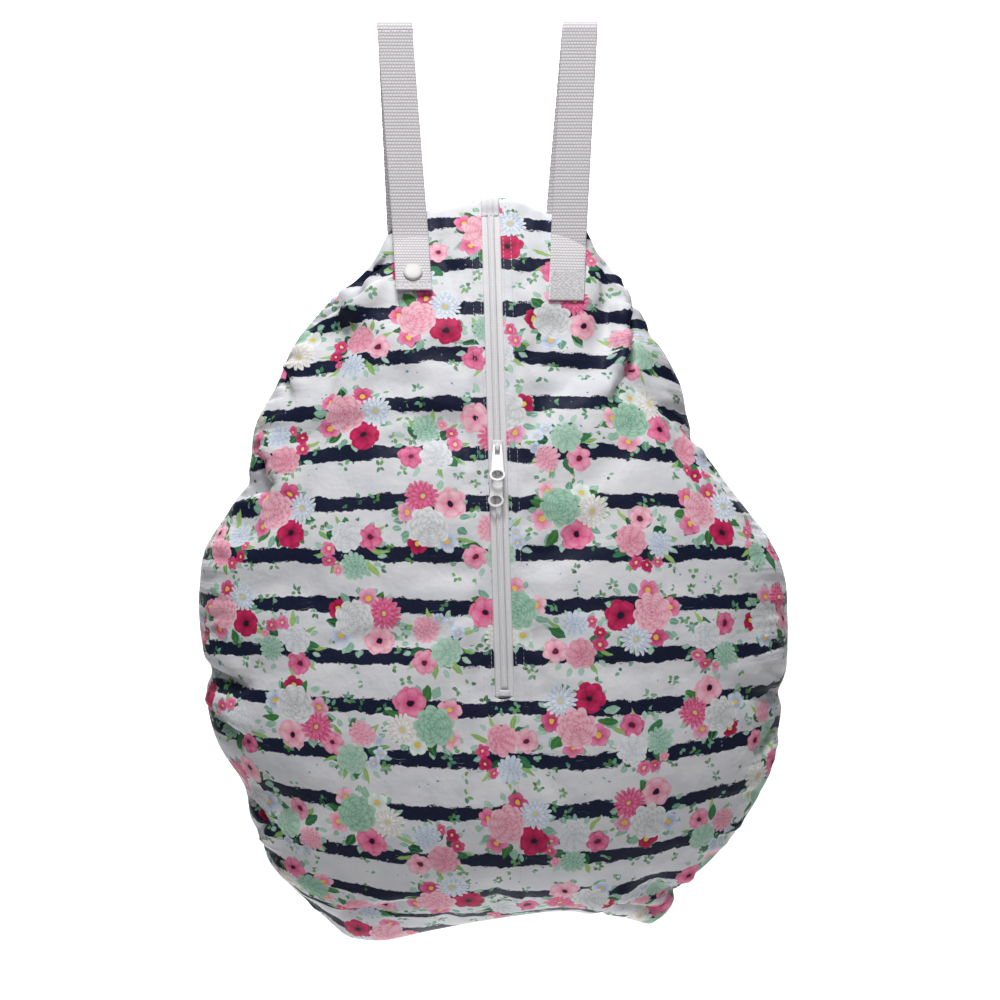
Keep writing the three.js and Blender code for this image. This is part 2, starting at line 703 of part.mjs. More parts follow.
function legRow(loop, face, z) {
  const outward = face === "front" ? -1 : 1;
  const depths = legDepths(loop, face, z);
  return lanesAt(loop, face, z).map((x, k) => new THREE.Vector3(x, outward * depths[k], z));
}

function loopGeometry(loop) {
  const grid = [];
  for (let i = 0; i < legStations; i++) {
    grid.push(legRow(loop, "front", -loop.length * (1 - (i / legStations) ** stationCrowding)));
  }
  const rail = railDiameter / 2;
  for (let i = 0; i <= crestStations; i++) {
    const turn = (Math.PI * i) / crestStations;
    const row = [];
    for (let k = 0; k <= strapLanes; k++) {
      const x = (loop.side * strapSpacing) / 2 + strapWidth * (k / strapLanes - 0.5);
      row.push(new THREE.Vector3(x, -rail * Math.cos(turn), rail * (Math.sin(turn) - 1)));
    }
    grid.push(row);
  }
  for (let i = legStations - 1; i >= 0; i--) {
    grid.push(legRow(loop, "back", -backStrapLength * (1 - (i / legStations) ** stationCrowding)));
  }
  return sheet(grid, strapThickness);
}

// The folded end of the zip tape, over the crest of the cloth.
function tapeFoldGeometry() {
  const grid = [];
  const half = slitWidth / 2 - clearance;
  const lift = clearance * 2;
  const lengths = { front: foldFront, crest: -lift, back: foldBack };
  for (const { face, share } of foldStations) {
    const drop = lengths[face] * share;
    grid.push([-1, 0, 1].map((side) => {
      const x = zipX(crestZ) + side * half;
      const z = panelZ(sharesAt(x, crestZ - drop).across, 0) - drop;
      if (face === "crest") return new THREE.Vector3(x, 0, z);
      const off = lift * slant(face, x, z);
      return new THREE.Vector3(x, clothY(face, x, z) + (face === "front" ? -off : off), z);
    }));
  }
  return sheet(grid, tapeThickness);
}

// A round piece that lies on a face, turned from a profile whose axis points out of the cloth.
function turned(profile, segments) {
  const lathe = new THREE.LatheGeometry(profile.map(([r, h]) => new THREE.Vector2(r, h)), segments);
  lathe.rotateX(Math.PI);
  return geometryOf(solidOf(lathe));
}

function capGeometry() {
  const radius = snapDiameter / 2;
  return turned(capProfile.map(({ out, up }) => [radius * out, snapHeight * up]), 20);
}

function studGeometry() {
  const radius = studDiameter / 2;
  return turned([[0, 0], [radius, 0], [radius, studHeight], [0, studHeight]], 16);
}

// A frame on the left loop's end, with -y out of the webbing.
function onSnap(height) {
  const z = -leftStrapLength + snapFromEnd;
  const depth = (level) => legDepths(loops.left, "front", level)[0];
  const reach = snapDiameter / 2;
  const frame = new THREE.Group();
  frame.rotation.x = -Math.atan2(depth(z - reach) - depth(z + reach), 2 * reach);
  frame.position.set(loopX(loops.left, "front", z), -depth(z), z);
  frame.position.addScaledVector(new THREE.Vector3(0, -1, 0).applyEuler(frame.rotation), height);
  return frame;
}

function piece(name, geometry, finish) {
  const mesh = new THREE.Mesh(geometry, new THREE.MeshStandardMaterial(finish));
  mesh.name = name;
  return mesh;
}

const wetBag = new THREE.Group();
wetBag.add(piece("bag_body", bodyGeometry(), cloth));
wetBag.add(piece("zip_tape", sheet(tape, tapeThickness), zipWhite));
wetBag.add(piece("zip_tape_fold", tapeFoldGeometry(), zipWhite));
wetBag.add(piece("zip_coil", coilGeometry(), coilWhite));
wetBag.add(piece("left_strap_loop", loopGeometry(loops.left), webbing));
wetBag.add(piece("right_strap_loop", loopGeometry(loops.right), webbing));

const stopFrame = onZip(zipDrop - stopLength);
const stop = new THREE.BoxGeometry(coilWidth + 2 * sliderFlange, coilThickness + stopRise, stopLength);
stop.translate(0, -(coilThickness + stopRise) / 2 - 2 * clearance, 0);
stopFrame.add(piece("zip_bottom_stop", stop, coilWhite));
wetBag.add(stopFrame);

const lowerSliderDrop = upperSliderDrop + sliderPitch;
const sliders = [
  { name: "upper", drop: upperSliderDrop, lift: upperPullLift, tilt: 0 },
  { name: "lower", drop: lowerSliderDrop, lift: radians(lowerPullLift), tilt: radians(lowerPullTilt) },
];
for (const { name, drop, lift, tilt } of sliders) {
  const frame = onZip(drop);
  frame.add(piece(`${name}_slider`, sliderGeometry(), enamel));
  const pull = piece(`${name}_pull_tab`, pullGeometry(), enamel);
  pull.position.set(0, -hingeHeight, hingeRise);
  pull.rotation.set(-lift, tilt, 0);
  frame.add(pull);
  wetBag.add(frame);
}

const capFrame = onSnap(strapThickness + clearance);
capFrame.add(piece("snap_cap", capGeometry(), plastic));
wetBag.add(capFrame);
const studFrame = onSnap(-clearance - studHeight);
studFrame.add(piece("snap_stud", studGeometry(), plastic));
wetBag.add(studFrame);

export default wetBag;
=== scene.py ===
import math

import bmesh
import bpy
import numpy as np
from mathutils import Matrix, Vector, noise


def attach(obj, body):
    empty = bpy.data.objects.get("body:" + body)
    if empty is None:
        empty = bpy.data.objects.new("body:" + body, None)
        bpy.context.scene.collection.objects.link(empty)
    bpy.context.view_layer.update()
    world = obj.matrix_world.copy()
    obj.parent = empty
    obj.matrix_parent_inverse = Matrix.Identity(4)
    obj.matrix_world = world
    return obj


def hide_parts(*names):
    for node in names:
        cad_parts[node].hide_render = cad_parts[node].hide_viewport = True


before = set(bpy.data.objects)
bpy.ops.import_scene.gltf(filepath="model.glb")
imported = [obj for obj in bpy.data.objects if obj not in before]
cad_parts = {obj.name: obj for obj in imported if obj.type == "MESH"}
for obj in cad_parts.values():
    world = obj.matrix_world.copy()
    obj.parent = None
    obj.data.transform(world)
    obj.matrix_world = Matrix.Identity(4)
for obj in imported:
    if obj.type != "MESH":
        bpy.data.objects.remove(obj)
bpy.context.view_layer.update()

# Cloth body, in metres
CLOTH_WIDTH = 0.42
CLOTH_HEIGHT = 0.528
CLOTH_DEPTH = 0.175
CREST_Z = -0.1235
GATHER_PITCH = 0.037
GATHER_DEPTH = 0.0032
GATHER_REACH = 0.03
CLOTH_THICKNESS = 0.0012

# Webbing loops
RAIL_RADIUS = 0.006
STRAP_WIDTH = 0.0252
STRAP_THICKNESS = 0.0018
STRAP_SPACING = 0.1317
STRAP_TOUCH = 0.0317
BACK_LENGTH = 0.195
STRAP_SKEW = 0.006
STRAP_SEAT = 0.00055
STRAP_SETTLE = 0.02
STUD_HEIGHT = 0.0022
SNAP_FROM_END = 0.012
SNAP_DIAMETER = 0.0134
SNAP_HEIGHT = 0.0024

# Zip
ZIP_DROP = 0.35
SLIT_WIDTH = 0.013
SLOPE_REACH = 0.008
WALL = 0.002
CLEARANCE = 0.0003
COIL_WIDTH = 0.005
COIL_THICKNESS = 0.0015
COIL_ROW = 0.00125
COIL_ROW_WIDTH = 0.00095
STOP_LENGTH = 0.004
STOP_RISE = 0.0012
FOLD_FRONT = 0.009
FOLD_BACK = 0.007
UPPER_SLIDER_DROP = 0.1795
SLIDER_PITCH = 0.0158
SLIDER_LENGTH = 0.0114
SLIDER_PLATE = 0.001
SLIDER_FLANGE = 0.0009
BRIDGE_LENGTH = 0.0066
BRIDGE_WIDTH = 0.0026
BRIDGE_BAR = 0.001
BRIDGE_CROWN = 0.0008
PULL_THICKNESS = 0.0011
PULL_LENGTH = 0.0275
PULL_BAR = 0.0013
PULL_NECK = 0.0062
NECK_SPREAD = 0.062
RING_WIDTH = 0.011
RING_HEIGHT = 0.0094
RING_WEB = 0.0016
LOWER_PULL_TILT = math.radians(4)
LOWER_PULL_LIFT = math.radians(3)
ZIP_START = 0.0045
ZIP_LEAN = 0.0375


def table(columns, *rows):
    return {name: np.array(values, float) for name, values in zip(columns.split(), zip(*rows))}


# Side edges and fullness by the share of the way down the side seam. left and right are shares of
# the width from the middle of the loops, front and back shares of the depth.
SECTIONS = table(
    "down left right front back",
    (0, -0.273, 0.238, 0.15, 0.13),
    (0.065, -0.327, 0.287, 0.22, 0.19),
    (0.13, -0.357, 0.326, 0.28, 0.24),
    (0.195, -0.393, 0.341, 0.33, 0.29),
    (0.26, -0.403, 0.378, 0.37, 0.33),
    (0.325, -0.433, 0.426, 0.41, 0.37),
    (0.39, -0.476, 0.477, 0.45, 0.41),
    (0.45, -0.487, 0.503, 0.48, 0.43),
    (0.515, -0.487, 0.508, 0.5, 0.45),
    (0.58, -0.477, 0.508, 0.515, 0.46),
    (0.645, -0.474, 0.502, 0.52, 0.46),
    (0.71, -0.454, 0.492, 0.52, 0.46),
    (0.775, -0.411, 0.48, 0.51, 0.45),
    (0.84, -0.398, 0.442, 0.49, 0.43),
    (0.905, -0.364, 0.387, 0.45, 0.4),
    (0.95, -0.317, 0.336, 0.41, 0.36),
    (1, -0.259, 0.312, 0.36, 0.31),
)
# Top and bottom seams: the share of the height below the crest, by the share of the way across.
TOP_SEAM = table(
    "across down",
    (0, 0.144), (0.083, 0.117), (0.15, 0.09), (0.18, 0.07), (0.205, 0.047), (0.25, 0.029),
    (0.33, 0.017), (0.43, 0.009), (0.53, 0), (0.63, 0.002), (0.725, 0.02), (0.81, 0.026),
    (0.86, 0.04), (0.89, 0.07), (0.94, 0.093), (1, 0.144),
)
BOTTOM_SEAM = table(
    "across down",
    (0, 0.978), (0.05, 0.993), (0.14, 0.999), (0.27, 0.987), (0.45, 0.972), (0.67, 0.96),
    (0.85, 0.967), (0.935, 0.976), (0.98, 0.964), (1, 0.951),
)
# Nicks in the side edges: side is -1 at the left, pull a share of the width, the rest of the height.
NICKS = table(
    "side down span pull",
    (-1, 0.385, 0.012, 0.012),
    (-1, 0.635, 0.014, 0.012),
    (-1, 0.86, 0.016, 0.01),
    (1, 0.175, 0.012, 0.016),
    (1, 0.33, 0.014, 0.014),
    (1, 0.663, 0.012, 0.012),
    (1, 0.925, 0.01, 0.012),
)
# Creases (depth above 0) and rolls (below 0) of the front: x is a share of the width, z, end z and
# width are shares of the height, depth is a share of the depth.
FOLDS = table(
    "x z end_x end_z width depth",
    (-0.148, 0.086, -0.265, 0.137, 0.012, 0.04),
    (-0.323, 0.184, -0.337, 0.253, 0.013, 0.04),
    (-0.381, 0.341, -0.362, 0.39, 0.014, 0.05),
    (-0.362, 0.39, -0.413, 0.402, 0.014, 0.05),
    (-0.46, 0.632, -0.413, 0.647, 0.014, 0.04),
    (-0.472, 0.684, -0.418, 0.713, 0.014, 0.035),
    (-0.396, 0.805, -0.367, 0.826, 0.012, 0.03),
    (0.226, 0.159, 0.222, 0.253, 0.012, -0.03),
    (0.236, 0.177, 0.231, 0.226, 0.01, 0.06),
    (0.2, 0.157, 0.19, 0.2, 0.02, 0.03),
    (0.502, 0.65, 0.482, 0.664, 0.014, 0.035),
    (0.498, 0.7, 0.461, 0.731, 0.014, 0.035),
    (0.3, 0.922, 0.343, 0.915, 0.012, 0.05),
    (-0.082, 0.066, -0.07, 0.1, 0.02, 0.025),
    (0.125, 0.19, 0.12, 0.26, 0.03, 0.03),
)
# Crisp creases of the front, laid on the fine cloth: ends as above, width and depth in metres. The
# cloth stands up in a roll on the left of the way from x, z to end_x, end_z.
CREASES = table(
    "x z end_x end_z width depth",
    (-0.160, 0.080, -0.205, 0.111, 0.006, 0.0045),
    (-0.173, 0.109, -0.229, 0.141, 0.007, 0.005),
    (-0.229, 0.141, -0.280, 0.162, 0.007, 0.005),
    (-0.324, 0.198, -0.339, 0.229, 0.006, 0.004),
    (-0.339, 0.229, -0.332, 0.256, 0.006, 0.004),
    (-0.381, 0.342, -0.362, 0.390, 0.007, 0.005),
    (-0.362, 0.390, -0.413, 0.402, 0.007, 0.005),
    (-0.460, 0.632, -0.413, 0.647, 0.007, 0.004),
    (-0.472, 0.685, -0.418, 0.713, 0.007, 0.004),
    (-0.396, 0.806, -0.367, 0.826, 0.006, 0.004),
    (-0.367, 0.826, -0.381, 0.848, 0.006, 0.004),
    (0.233, 0.198, 0.239, 0.156, 0.006, 0.005),
    (0.234, 0.225, 0.233, 0.198, 0.006, 0.006),
    (0.212, 0.266, 0.234, 0.225, 0.006, 0.004),
    (0.200, 0.117, 0.207, 0.205, 0.012, 0.003),
    (0.501, 0.650, 0.480, 0.664, 0.006, 0.004),
    (0.480, 0.664, 0.491, 0.689, 0.006, 0.004),
    (0.498, 0.700, 0.460, 0.732, 0.007, 0.004),
    (0.312, 0.924, 0.342, 0.915, 0.006, 0.004),
    (0.187, 0.961, 0.227, 0.942, 0.007, 0.003),
    (0.227, 0.942, 0.275, 0.953, 0.007, 0.003),
    (-0.232, 0.951, -0.139, 0.935, 0.008, 0.003),
)
CREASE_STRENGTH = 1.4
ROLL_SHARE = 0.8
GROOVE_SHARE = 0.4
ACROSS_POWER = 2.2
ACROSS_ROUND = 0.57
TOP_POWER = 4.5
BOTTOM_POWER = 8
DOWN_ROUND = 0.55


# Form of the cloth

def smoothstep(value, low, high):
    u = np.clip((value - low) / (high - low), 0, 1)
    return u * u * (3 - 2 * u)


def read(rows, column, value, key="down"):
    """A smooth curve through a table's rows, at an array of values of its key column."""
    keys, ends = rows[key], rows[column]
    value = np.clip(np.asarray(value, float), keys[0], keys[-1])
    i = np.clip(np.searchsorted(keys, value, side="left"), 1, len(keys) - 1)
    here = np.arange(len(keys))
    before, after = np.maximum(here - 1, 0), np.minimum(here + 1, len(keys) - 1)
    slope = (ends[after] - ends[before]) / (keys[after] - keys[before])
    span = keys[i] - keys[i - 1]
    u = (value - keys[i - 1]) / span
    start = ends[i - 1] * (1 + 2 * u) * (1 - u) ** 2 + slope[i - 1] * span * u * (1 - u) ** 2
    return start + ends[i] * (3 - 2 * u) * u**2 + slope[i] * span * (u - 1) * u**2


def panel_z(across, down):
    top, bottom = read(TOP_SEAM, "down", across, "across"), read(BOTTOM_SEAM, "down", across, "across")
    return CREST_Z - CLOTH_HEIGHT * (top + (bottom - top) * down)


def edge_x(side, down):
    across = 0 if side < 0 else 1
    height = (CREST_Z - panel_z(across, down)) / CLOTH_HEIGHT
    x = read(SECTIONS, "left" if side < 0 else "right", down)
    for nick_side, at, span, pull in zip(*NICKS.values()):
        if nick_side == side:
            x = x - side * pull * np.exp(-(((height - at) / span) ** 2))
    return x * CLOTH_WIDTH


def zip_x(z):
    return CLOTH_WIDTH * (ZIP_START + ZIP_LEAN * (CREST_Z - z) / CLOTH_HEIGHT)


def shares_at(x, z):
    across, down = np.full(np.shape(x), 0.5), np.full(np.shape(x), 0.5)
    for _ in range(12):
        top, bottom = panel_z(across, 0), panel_z(across, 1)
        down = np.clip((z - top) / (bottom - top), 0, 1)
        left, right = edge_x(-1, down), edge_x(1, down)
        across = np.clip((x - left) / (right - left), 0, 1)
    return across, down


def fullness(face, across, down, x, z):
    """How far the cloth stands off the seam plane."""
    power = np.where(down < 0.5, TOP_POWER, BOTTOM_POWER)
    full = (1 - np.abs(2 * across - 1) ** ACROSS_POWER) ** ACROSS_ROUND
    full = full * (1 - np.abs(2 * down - 1) ** power) ** DOWN_ROUND
    depth = read(SECTIONS, face, down) * CLOTH_DEPTH * full
    from_edge = np.minimum(x - edge_x(-1, down), edge_x(1, down) - x)
    wave = 1 - np.cos(2 * math.pi * (z - CREST_Z) / GATHER_PITCH)
    depth = depth - GATHER_DEPTH / 2 * wave * np.exp(-from_edge / GATHER_REACH) * full
    if face == "front":
        fade = np.minimum(1, 2 * full)
        for fold in zip(*FOLDS.values()):
            depth = depth - fade * fold_depth(fold, x, z)
    return depth


def fold_depth(fold, x, z):
    from_x, from_z, to_x, to_z, width, depth = fold
    start_x, start_z = from_x * CLOTH_WIDTH, CREST_Z - from_z * CLOTH_HEIGHT
    line_x, line_z = to_x * CLOTH_WIDTH - start_x, CREST_Z - to_z * CLOTH_HEIGHT - start_z
    along = ((x - start_x) * line_x + (z - start_z) * line_z) / (line_x**2 + line_z**2)
    along = np.clip(along, 0, 1)
    distance = np.hypot(x - start_x - along * line_x, z - start_z - along * line_z)
    return depth * CLOTH_DEPTH * np.exp(-((distance / (width * CLOTH_HEIGHT)) ** 2))


def crease_height(x, z):
    """How far the front stands up beside its creases, and sinks in them."""
    height = np.zeros(np.shape(x))
    for from_x, from_z, to_x, to_z, width, depth in zip(*CREASES.values()):
        start_x, start_z = from_x * CLOTH_WIDTH, CREST_Z - from_z * CLOTH_HEIGHT
        line_x, line_z = to_x * CLOTH_WIDTH - start_x, CREST_Z - to_z * CLOTH_HEIGHT - start_z
        length = math.hypot(line_x, line_z)
        along = ((x - start_x) * line_x + (z - start_z) * line_z) / length**2
        aside = ((x - start_x) * line_z - (z - start_z) * line_x) / length
        beyond = np.maximum(np.abs(along - 0.5) - 0.5, 0) * length
        reach = CREASE_STRENGTH * depth * np.exp(-((beyond / width) ** 2))
        roll = ROLL_SHARE * np.exp(-(((aside + width) / width) ** 2))
        height += reach * (roll - np.exp(-((aside / (GROOVE_SHARE * width)) ** 2)))
    return height


def cloth_y(face, x, z):
    across, down = shares_at(x, z)
    depth = fullness(face, across, down, x, z)
    return -depth if face == "front" else depth


def slant(face, x, z, step=0.002):
    """One over the share of the cloth's normal that points along y."""
    along_x = (cloth_y(face, x + step, z) - cloth_y(face, x - step, z)) / (2 * step)
    along_z = (cloth_y(face, x, z + step) - cloth_y(face, x, z - step)) / (2 * step)
    return np.minimum(np.sqrt(1 + along_x**2 + along_z**2), 2.5)


def tape_points(z):
    """The front of the zip tape on its middle line, at an array of heights."""
    z = np.asarray(z, float)
    x = zip_x(z)
    y = cloth_y("front", x, z) + (WALL + CLEARANCE) * slant("front", x, z)
    return np.stack([x, y, z], axis=-1)


def on_zip(drop):
    """The local frame of what sits on the zip: x across, -y out of the cloth, z up along it."""
    z = CREST_Z - drop
    above, here, below = tape_points([z + SLOPE_REACH, z, z - SLOPE_REACH])
    lean = -math.atan2(above[1] - below[1], above[2] - below[2])
    return Matrix.Translation(here) @ Matrix.Rotation(lean, 4, "X")


# Shader maths

def operator(operation):
    """A method of Wire that adds one Math node."""
    return lambda self, *others: self.math(operation, *others)


class Wire:
    """An output in a material's nodes: Python's operators work on it, and node adds any other node."""

    def __init__(self, tree, socket=None):
        self.tree = tree
        self.socket = socket

    def node(self, kind, inputs=(), output=0, **settings):
        made = self.tree.nodes.new("ShaderNode" + kind)
        stops = settings.pop("stops", None)
        for name, value in settings.items():
            setattr(made, name, value)
        if stops:
            elements = made.color_ramp.elements
            elements.remove(elements[1])
            elements[0].position = stops[0][0]
            elements[0].color = (*stops[0][1], 1)
            for stop in stops[1:]:
                elements.new(stop[0]).color = (*stop[1], 1)
        for key, value in dict(inputs).items():
            if isinstance(value, Wire):
                self.tree.links.new(value.socket, made.inputs[key])
            else:
                made.inputs[key].default_value = value
        return Wire(self.tree, made.outputs[output])

    def math(self, operation, *others, clamp=False):
        return self.node("Math", enumerate((self, *others)), operation=operation, use_clamp=clamp)

    def __rsub__(self, other):
        return self.node("Math", {0: other, 1: self}, operation="SUBTRACT")

    __add__ = __radd__ = operator("ADD")
    __mul__ = __rmul__ = operator("MULTIPLY")
    __sub__ = operator("SUBTRACT")
    __truediv__ = operator("DIVIDE")
    __pow__ = operator("POWER")
    __abs__ = operator("ABSOLUTE")
    floor = operator("FLOOR")
    fract = operator("FRACT")
    sin = operator("SINE")
    cos = operator("COSINE")
    over = operator("GREATER_THAN")

    def clamp(self):
        return self.math("ADD", 0.0, clamp=True)

    def ramp(self, low, high):
        """0 below low, 1 above high."""
        inputs = {"Value": self, "From Min": low, "From Max": high}
        return self.node("MapRange", inputs, clamp=True)

    def mix(self, first, second):
        """A blend of two colours, by this value."""
        return self.node("Mix", {0: self, 6: first, 7: second}, output=2, data_type="RGBA")

    def blend(self, first, second):
        """A blend of two values, by this value."""
        return self.node("Mix", {0: self, 2: first, 3: second}, output=0, data_type="FLOAT")

    def parts(self):
        """The three parts of a vector."""
        outputs = self.node("SeparateXYZ", {0: self}).socket.node.outputs
        return [Wire(self.tree, output) for output in outputs]

    def channels(self):
        """The three channels of a colour."""
        outputs = self.node("SeparateColor", {0: self}).socket.node.outputs
        return [Wire(self.tree, output) for output in outputs]

    def noise(self, scale, detail=2.0, roughness=0.5):
        return self.node("TexNoise", {"Vector": self, "Scale": scale, "Detail": detail,
                                      "Roughness": roughness})


def rgb(red, green, blue):
    """A colour of 0 to 255 values, as the shader wants it."""
    shares = [value / 255 for value in (red, green, blue)]
    return tuple(s / 12.92 if s <= 0.04045 else ((s + 0.055) / 1.055) ** 2.4 for s in shares)


def rgba(*values):
    return (*rgb(*values), 1)


def new_material(name):
    material = bpy.data.materials.new(name)
    material.use_nodes = True
    return material, Wire(material.node_tree)


def set_shader(material, **values):
    """Sets sockets of the Principled shader: Wires are linked, other values are constants."""
    tree = material.node_tree
    shader = tree.nodes["Principled BSDF"]
    for name, value in values.items():
        socket = shader.inputs[name.replace("_", " ")]
        if isinstance(value, Wire):
            tree.links.new(value.socket, socket)
        else:
            socket.default_value = value


def bumped(height, strength, distance):
    return height.node("Bump", {"Height": height, "Strength": strength, "Distance": distance})


# The print of the cloth, in millimetres of the cloth's own coordinates
STRIPE_PITCH = 35
STRIPE_HALF = 5.4
STRIPE_OFFSET = 4
CELL_WIDTH = 98
CELL_HEIGHT = 70
NAVY = rgba(21, 27, 48)
GROUND = rgba(229, 229, 232)


def palette(kind, tone, deeps, pales):
    """A paint from deep to pale by its tone, in the colours of kind 0, 1 or 2."""
    stops = []
    for n, (deep, pale) in enumerate(zip(deeps, pales)):
        stops += [((n + 0.03) / 3, rgb(*deep)), ((n + 0.97) / 3, rgb(*pale))]
    return kind.node("ValToRGB", {0: (kind + tone * 0.94 + 0.03) / 3}, stops=stops)


def flower(x, y, radius, layers, turn, ruffle=0.24, heart=0.0):
    """Petals in layers round a middle: gives where it covers, and a tone from deep 0 to pale 1."""
    reach = (x * x + y * y).math("SQRT") / radius
    angle = y.math("ARCTAN2", x) + turn
    cover, tone = None, None
    inner_scales = [scale for _, scale in layers[1:]] + [0.0]
    for step, ((petals, scale), inner) in enumerate(zip(layers, inner_scales)):
        wave = abs((angle * (petals / 2) + 1.9 * step).cos())
        edge = (wave ** 0.55 * ruffle + (1 - ruffle)) * scale
        inside = ((edge - reach) * (radius / 0.45) + 0.5).clamp()
        across = (reach / edge).ramp(0.8 * inner / scale, 1)
        rim = ((edge - reach) * (radius / 1.1)).ramp(0, 1) * 0.2 + 0.8
        shade = (across ** 0.8 * 0.7 + wave ** 0.4 * 0.3) * rim
        if cover is None:
            cover, tone = inside, shade
        else:
            tone = inside.blend(tone, shade)
    if heart:
        tone = reach.ramp(heart * 0.6, heart * 1.6) * tone
    return cover, tone, reach


def leaf_ring(x, y, count, start, length, width, turn, seed, cell, share=0.7):
    """Leaves that point out from a middle: gives where they cover, a tone, and the midrib."""
    reach = (x * x + y * y).math("SQRT")
    turns = (y.math("ARCTAN2", x) + turn) * (count / (2 * math.pi))
    sector = turns.floor()
    chance = cell.node("TexWhiteNoise", {"Vector": cell, "W": sector * 1.37 + seed},
                       noise_dimensions="4D")
    angle = (turns.fract() - 0.5) * (2 * math.pi / count)
    along = (reach * angle.cos() - start) / (chance * (length * 0.5) + length * 0.6)
    across = reach * angle.sin() / width
    inside = along.ramp(0, 1)
    form = (inside * (1 - inside) * 4) ** 0.75 * (1.1 - inside * 0.35)
    cover = ((form - abs(across)) * (width / 0.45)).clamp() * (share - chance).over(0)
    rib = abs(across).ramp(0.02, 0.14)
    return cover, chance, rib


def brush_stripes(x, y, paper):
    """Rough painted stripes across the cloth."""
    drift = paper.noise(0.019, 2.0) * 9.0
    ragged = paper.node("Mapping", {"Vector": paper, "Scale": (0.16, 0.5, 1)}).noise(1.0, 3.0, 0.62)
    fine = paper.noise(0.9, 1.0)
    row = ((y + drift + STRIPE_OFFSET) / STRIPE_PITCH).fract() - 0.5
    from_middle = abs(row) * STRIPE_PITCH
    half = ragged * 5.2 + fine * 1.6 + (STRIPE_HALF - 3.4)
    painted = ((half - from_middle) * 1.9).clamp()
    scratches = paper.node("Mapping", {"Vector": paper, "Scale": (0.05, 1.5, 1)}).noise(1.0, 4.0, 0.6)
    dry = scratches.ramp(0.66, 0.72) * paper.noise(0.035, 1.0).ramp(0.52, 0.66)
    return painted * (1 - dry * 0.9)


ROSETTE = ((9, 1.0), (8, 0.8), (7, 0.62), (6, 0.45), (5, 0.29), (3, 0.15))
WINDFLOWER = ((6, 1.0), (5, 0.84))
ASTER = ((17, 1.0), (15, 0.8), (11, 0.56))
SMALL = ((5, 1.0),)
POMPOM = ((13, 1.0), (11, 0.82), (9, 0.62), (7, 0.42), (5, 0.22))
# Rings of leaves, the widest first: count, start, length, width, turn, seed, share shown, colours.
POSY_RINGS = (
    (15, 22.0, 9.0, 2.7, 0.4, 11.0, 0.6, rgba(134, 180, 158), rgba(186, 216, 198)),
    (12, 18.0, 11.5, 3.2, 0.9, 23.0, 0.66, rgba(96, 152, 130), rgba(160, 200, 178)),
    (9, 14.0, 18.0, 3.7, 0.2, 5.0, 0.5, rgba(26, 76, 50), rgba(84, 150, 78)),
)
SPRAY_RINGS = (
    (17, 19.0, 9.0, 2.3, 1.1, 31.0, 0.6, rgba(140, 184, 166), rgba(192, 220, 206)),
    (9, 13.0, 19.0, 2.1, 0.5, 43.0, 0.6, rgba(112, 168, 84), rgba(176, 206, 128)),
    (8, 9.0, 17.0, 4.2, 0.8, 57.0, 0.6, rgba(30, 84, 58), rgba(72, 138, 92)),
)
# Blooms, the furthest back first: place, radius, petals, turn, ruffle, heart, deep and pale colours
# of the three kinds of cluster, and the heart's colour.
POSY_BLOOMS = (
    (-13.5, -12.0, 8.0, SMALL, 0.3, 0.3, 0.22,
     ((206, 44, 100), (150, 165, 205), (222, 96, 140)),
     ((240, 150, 190), (226, 233, 243), (250, 196, 214)), (236, 200, 90)),
    (1.0, 17.0, 7.6, SMALL, 1.3, 0.3, 0.22,
     ((176, 30, 84), (206, 90, 140), (196, 214, 208)),
     ((232, 110, 160), (246, 190, 214), (240, 246, 240)), (238, 196, 84)),
    (-19.0, 6.5, 7.2, SMALL, 2.1, 0.3, 0.22,
     ((214, 52, 106), (130, 24, 52), (228, 120, 156)),
     ((244, 152, 190), (206, 44, 96), (252, 214, 226)), (240, 204, 96)),
    (12.5, -10.0, 11.0, WINDFLOWER, 0.8, 0.18, 0.17,
     ((128, 22, 52), (226, 112, 148), (214, 60, 116)),
     ((214, 48, 104), (250, 206, 218), (246, 150, 186)), (30, 30, 52)),
    (13.5, 9.5, 11.5, ASTER, 0.2, 0.42, 0.13,
     ((168, 182, 206), (196, 44, 96), (200, 194, 190)),
     ((236, 242, 248), (240, 130, 172), (250, 248, 244)), (222, 206, 130)),
    (-6.5, 1.5, 14.0, ROSETTE, 0.5, 0.2, 0.0,
     ((214, 92, 130), (170, 176, 180), (84, 148, 126)),
     ((250, 212, 222), (244, 243, 244), (186, 218, 196)), None),
)
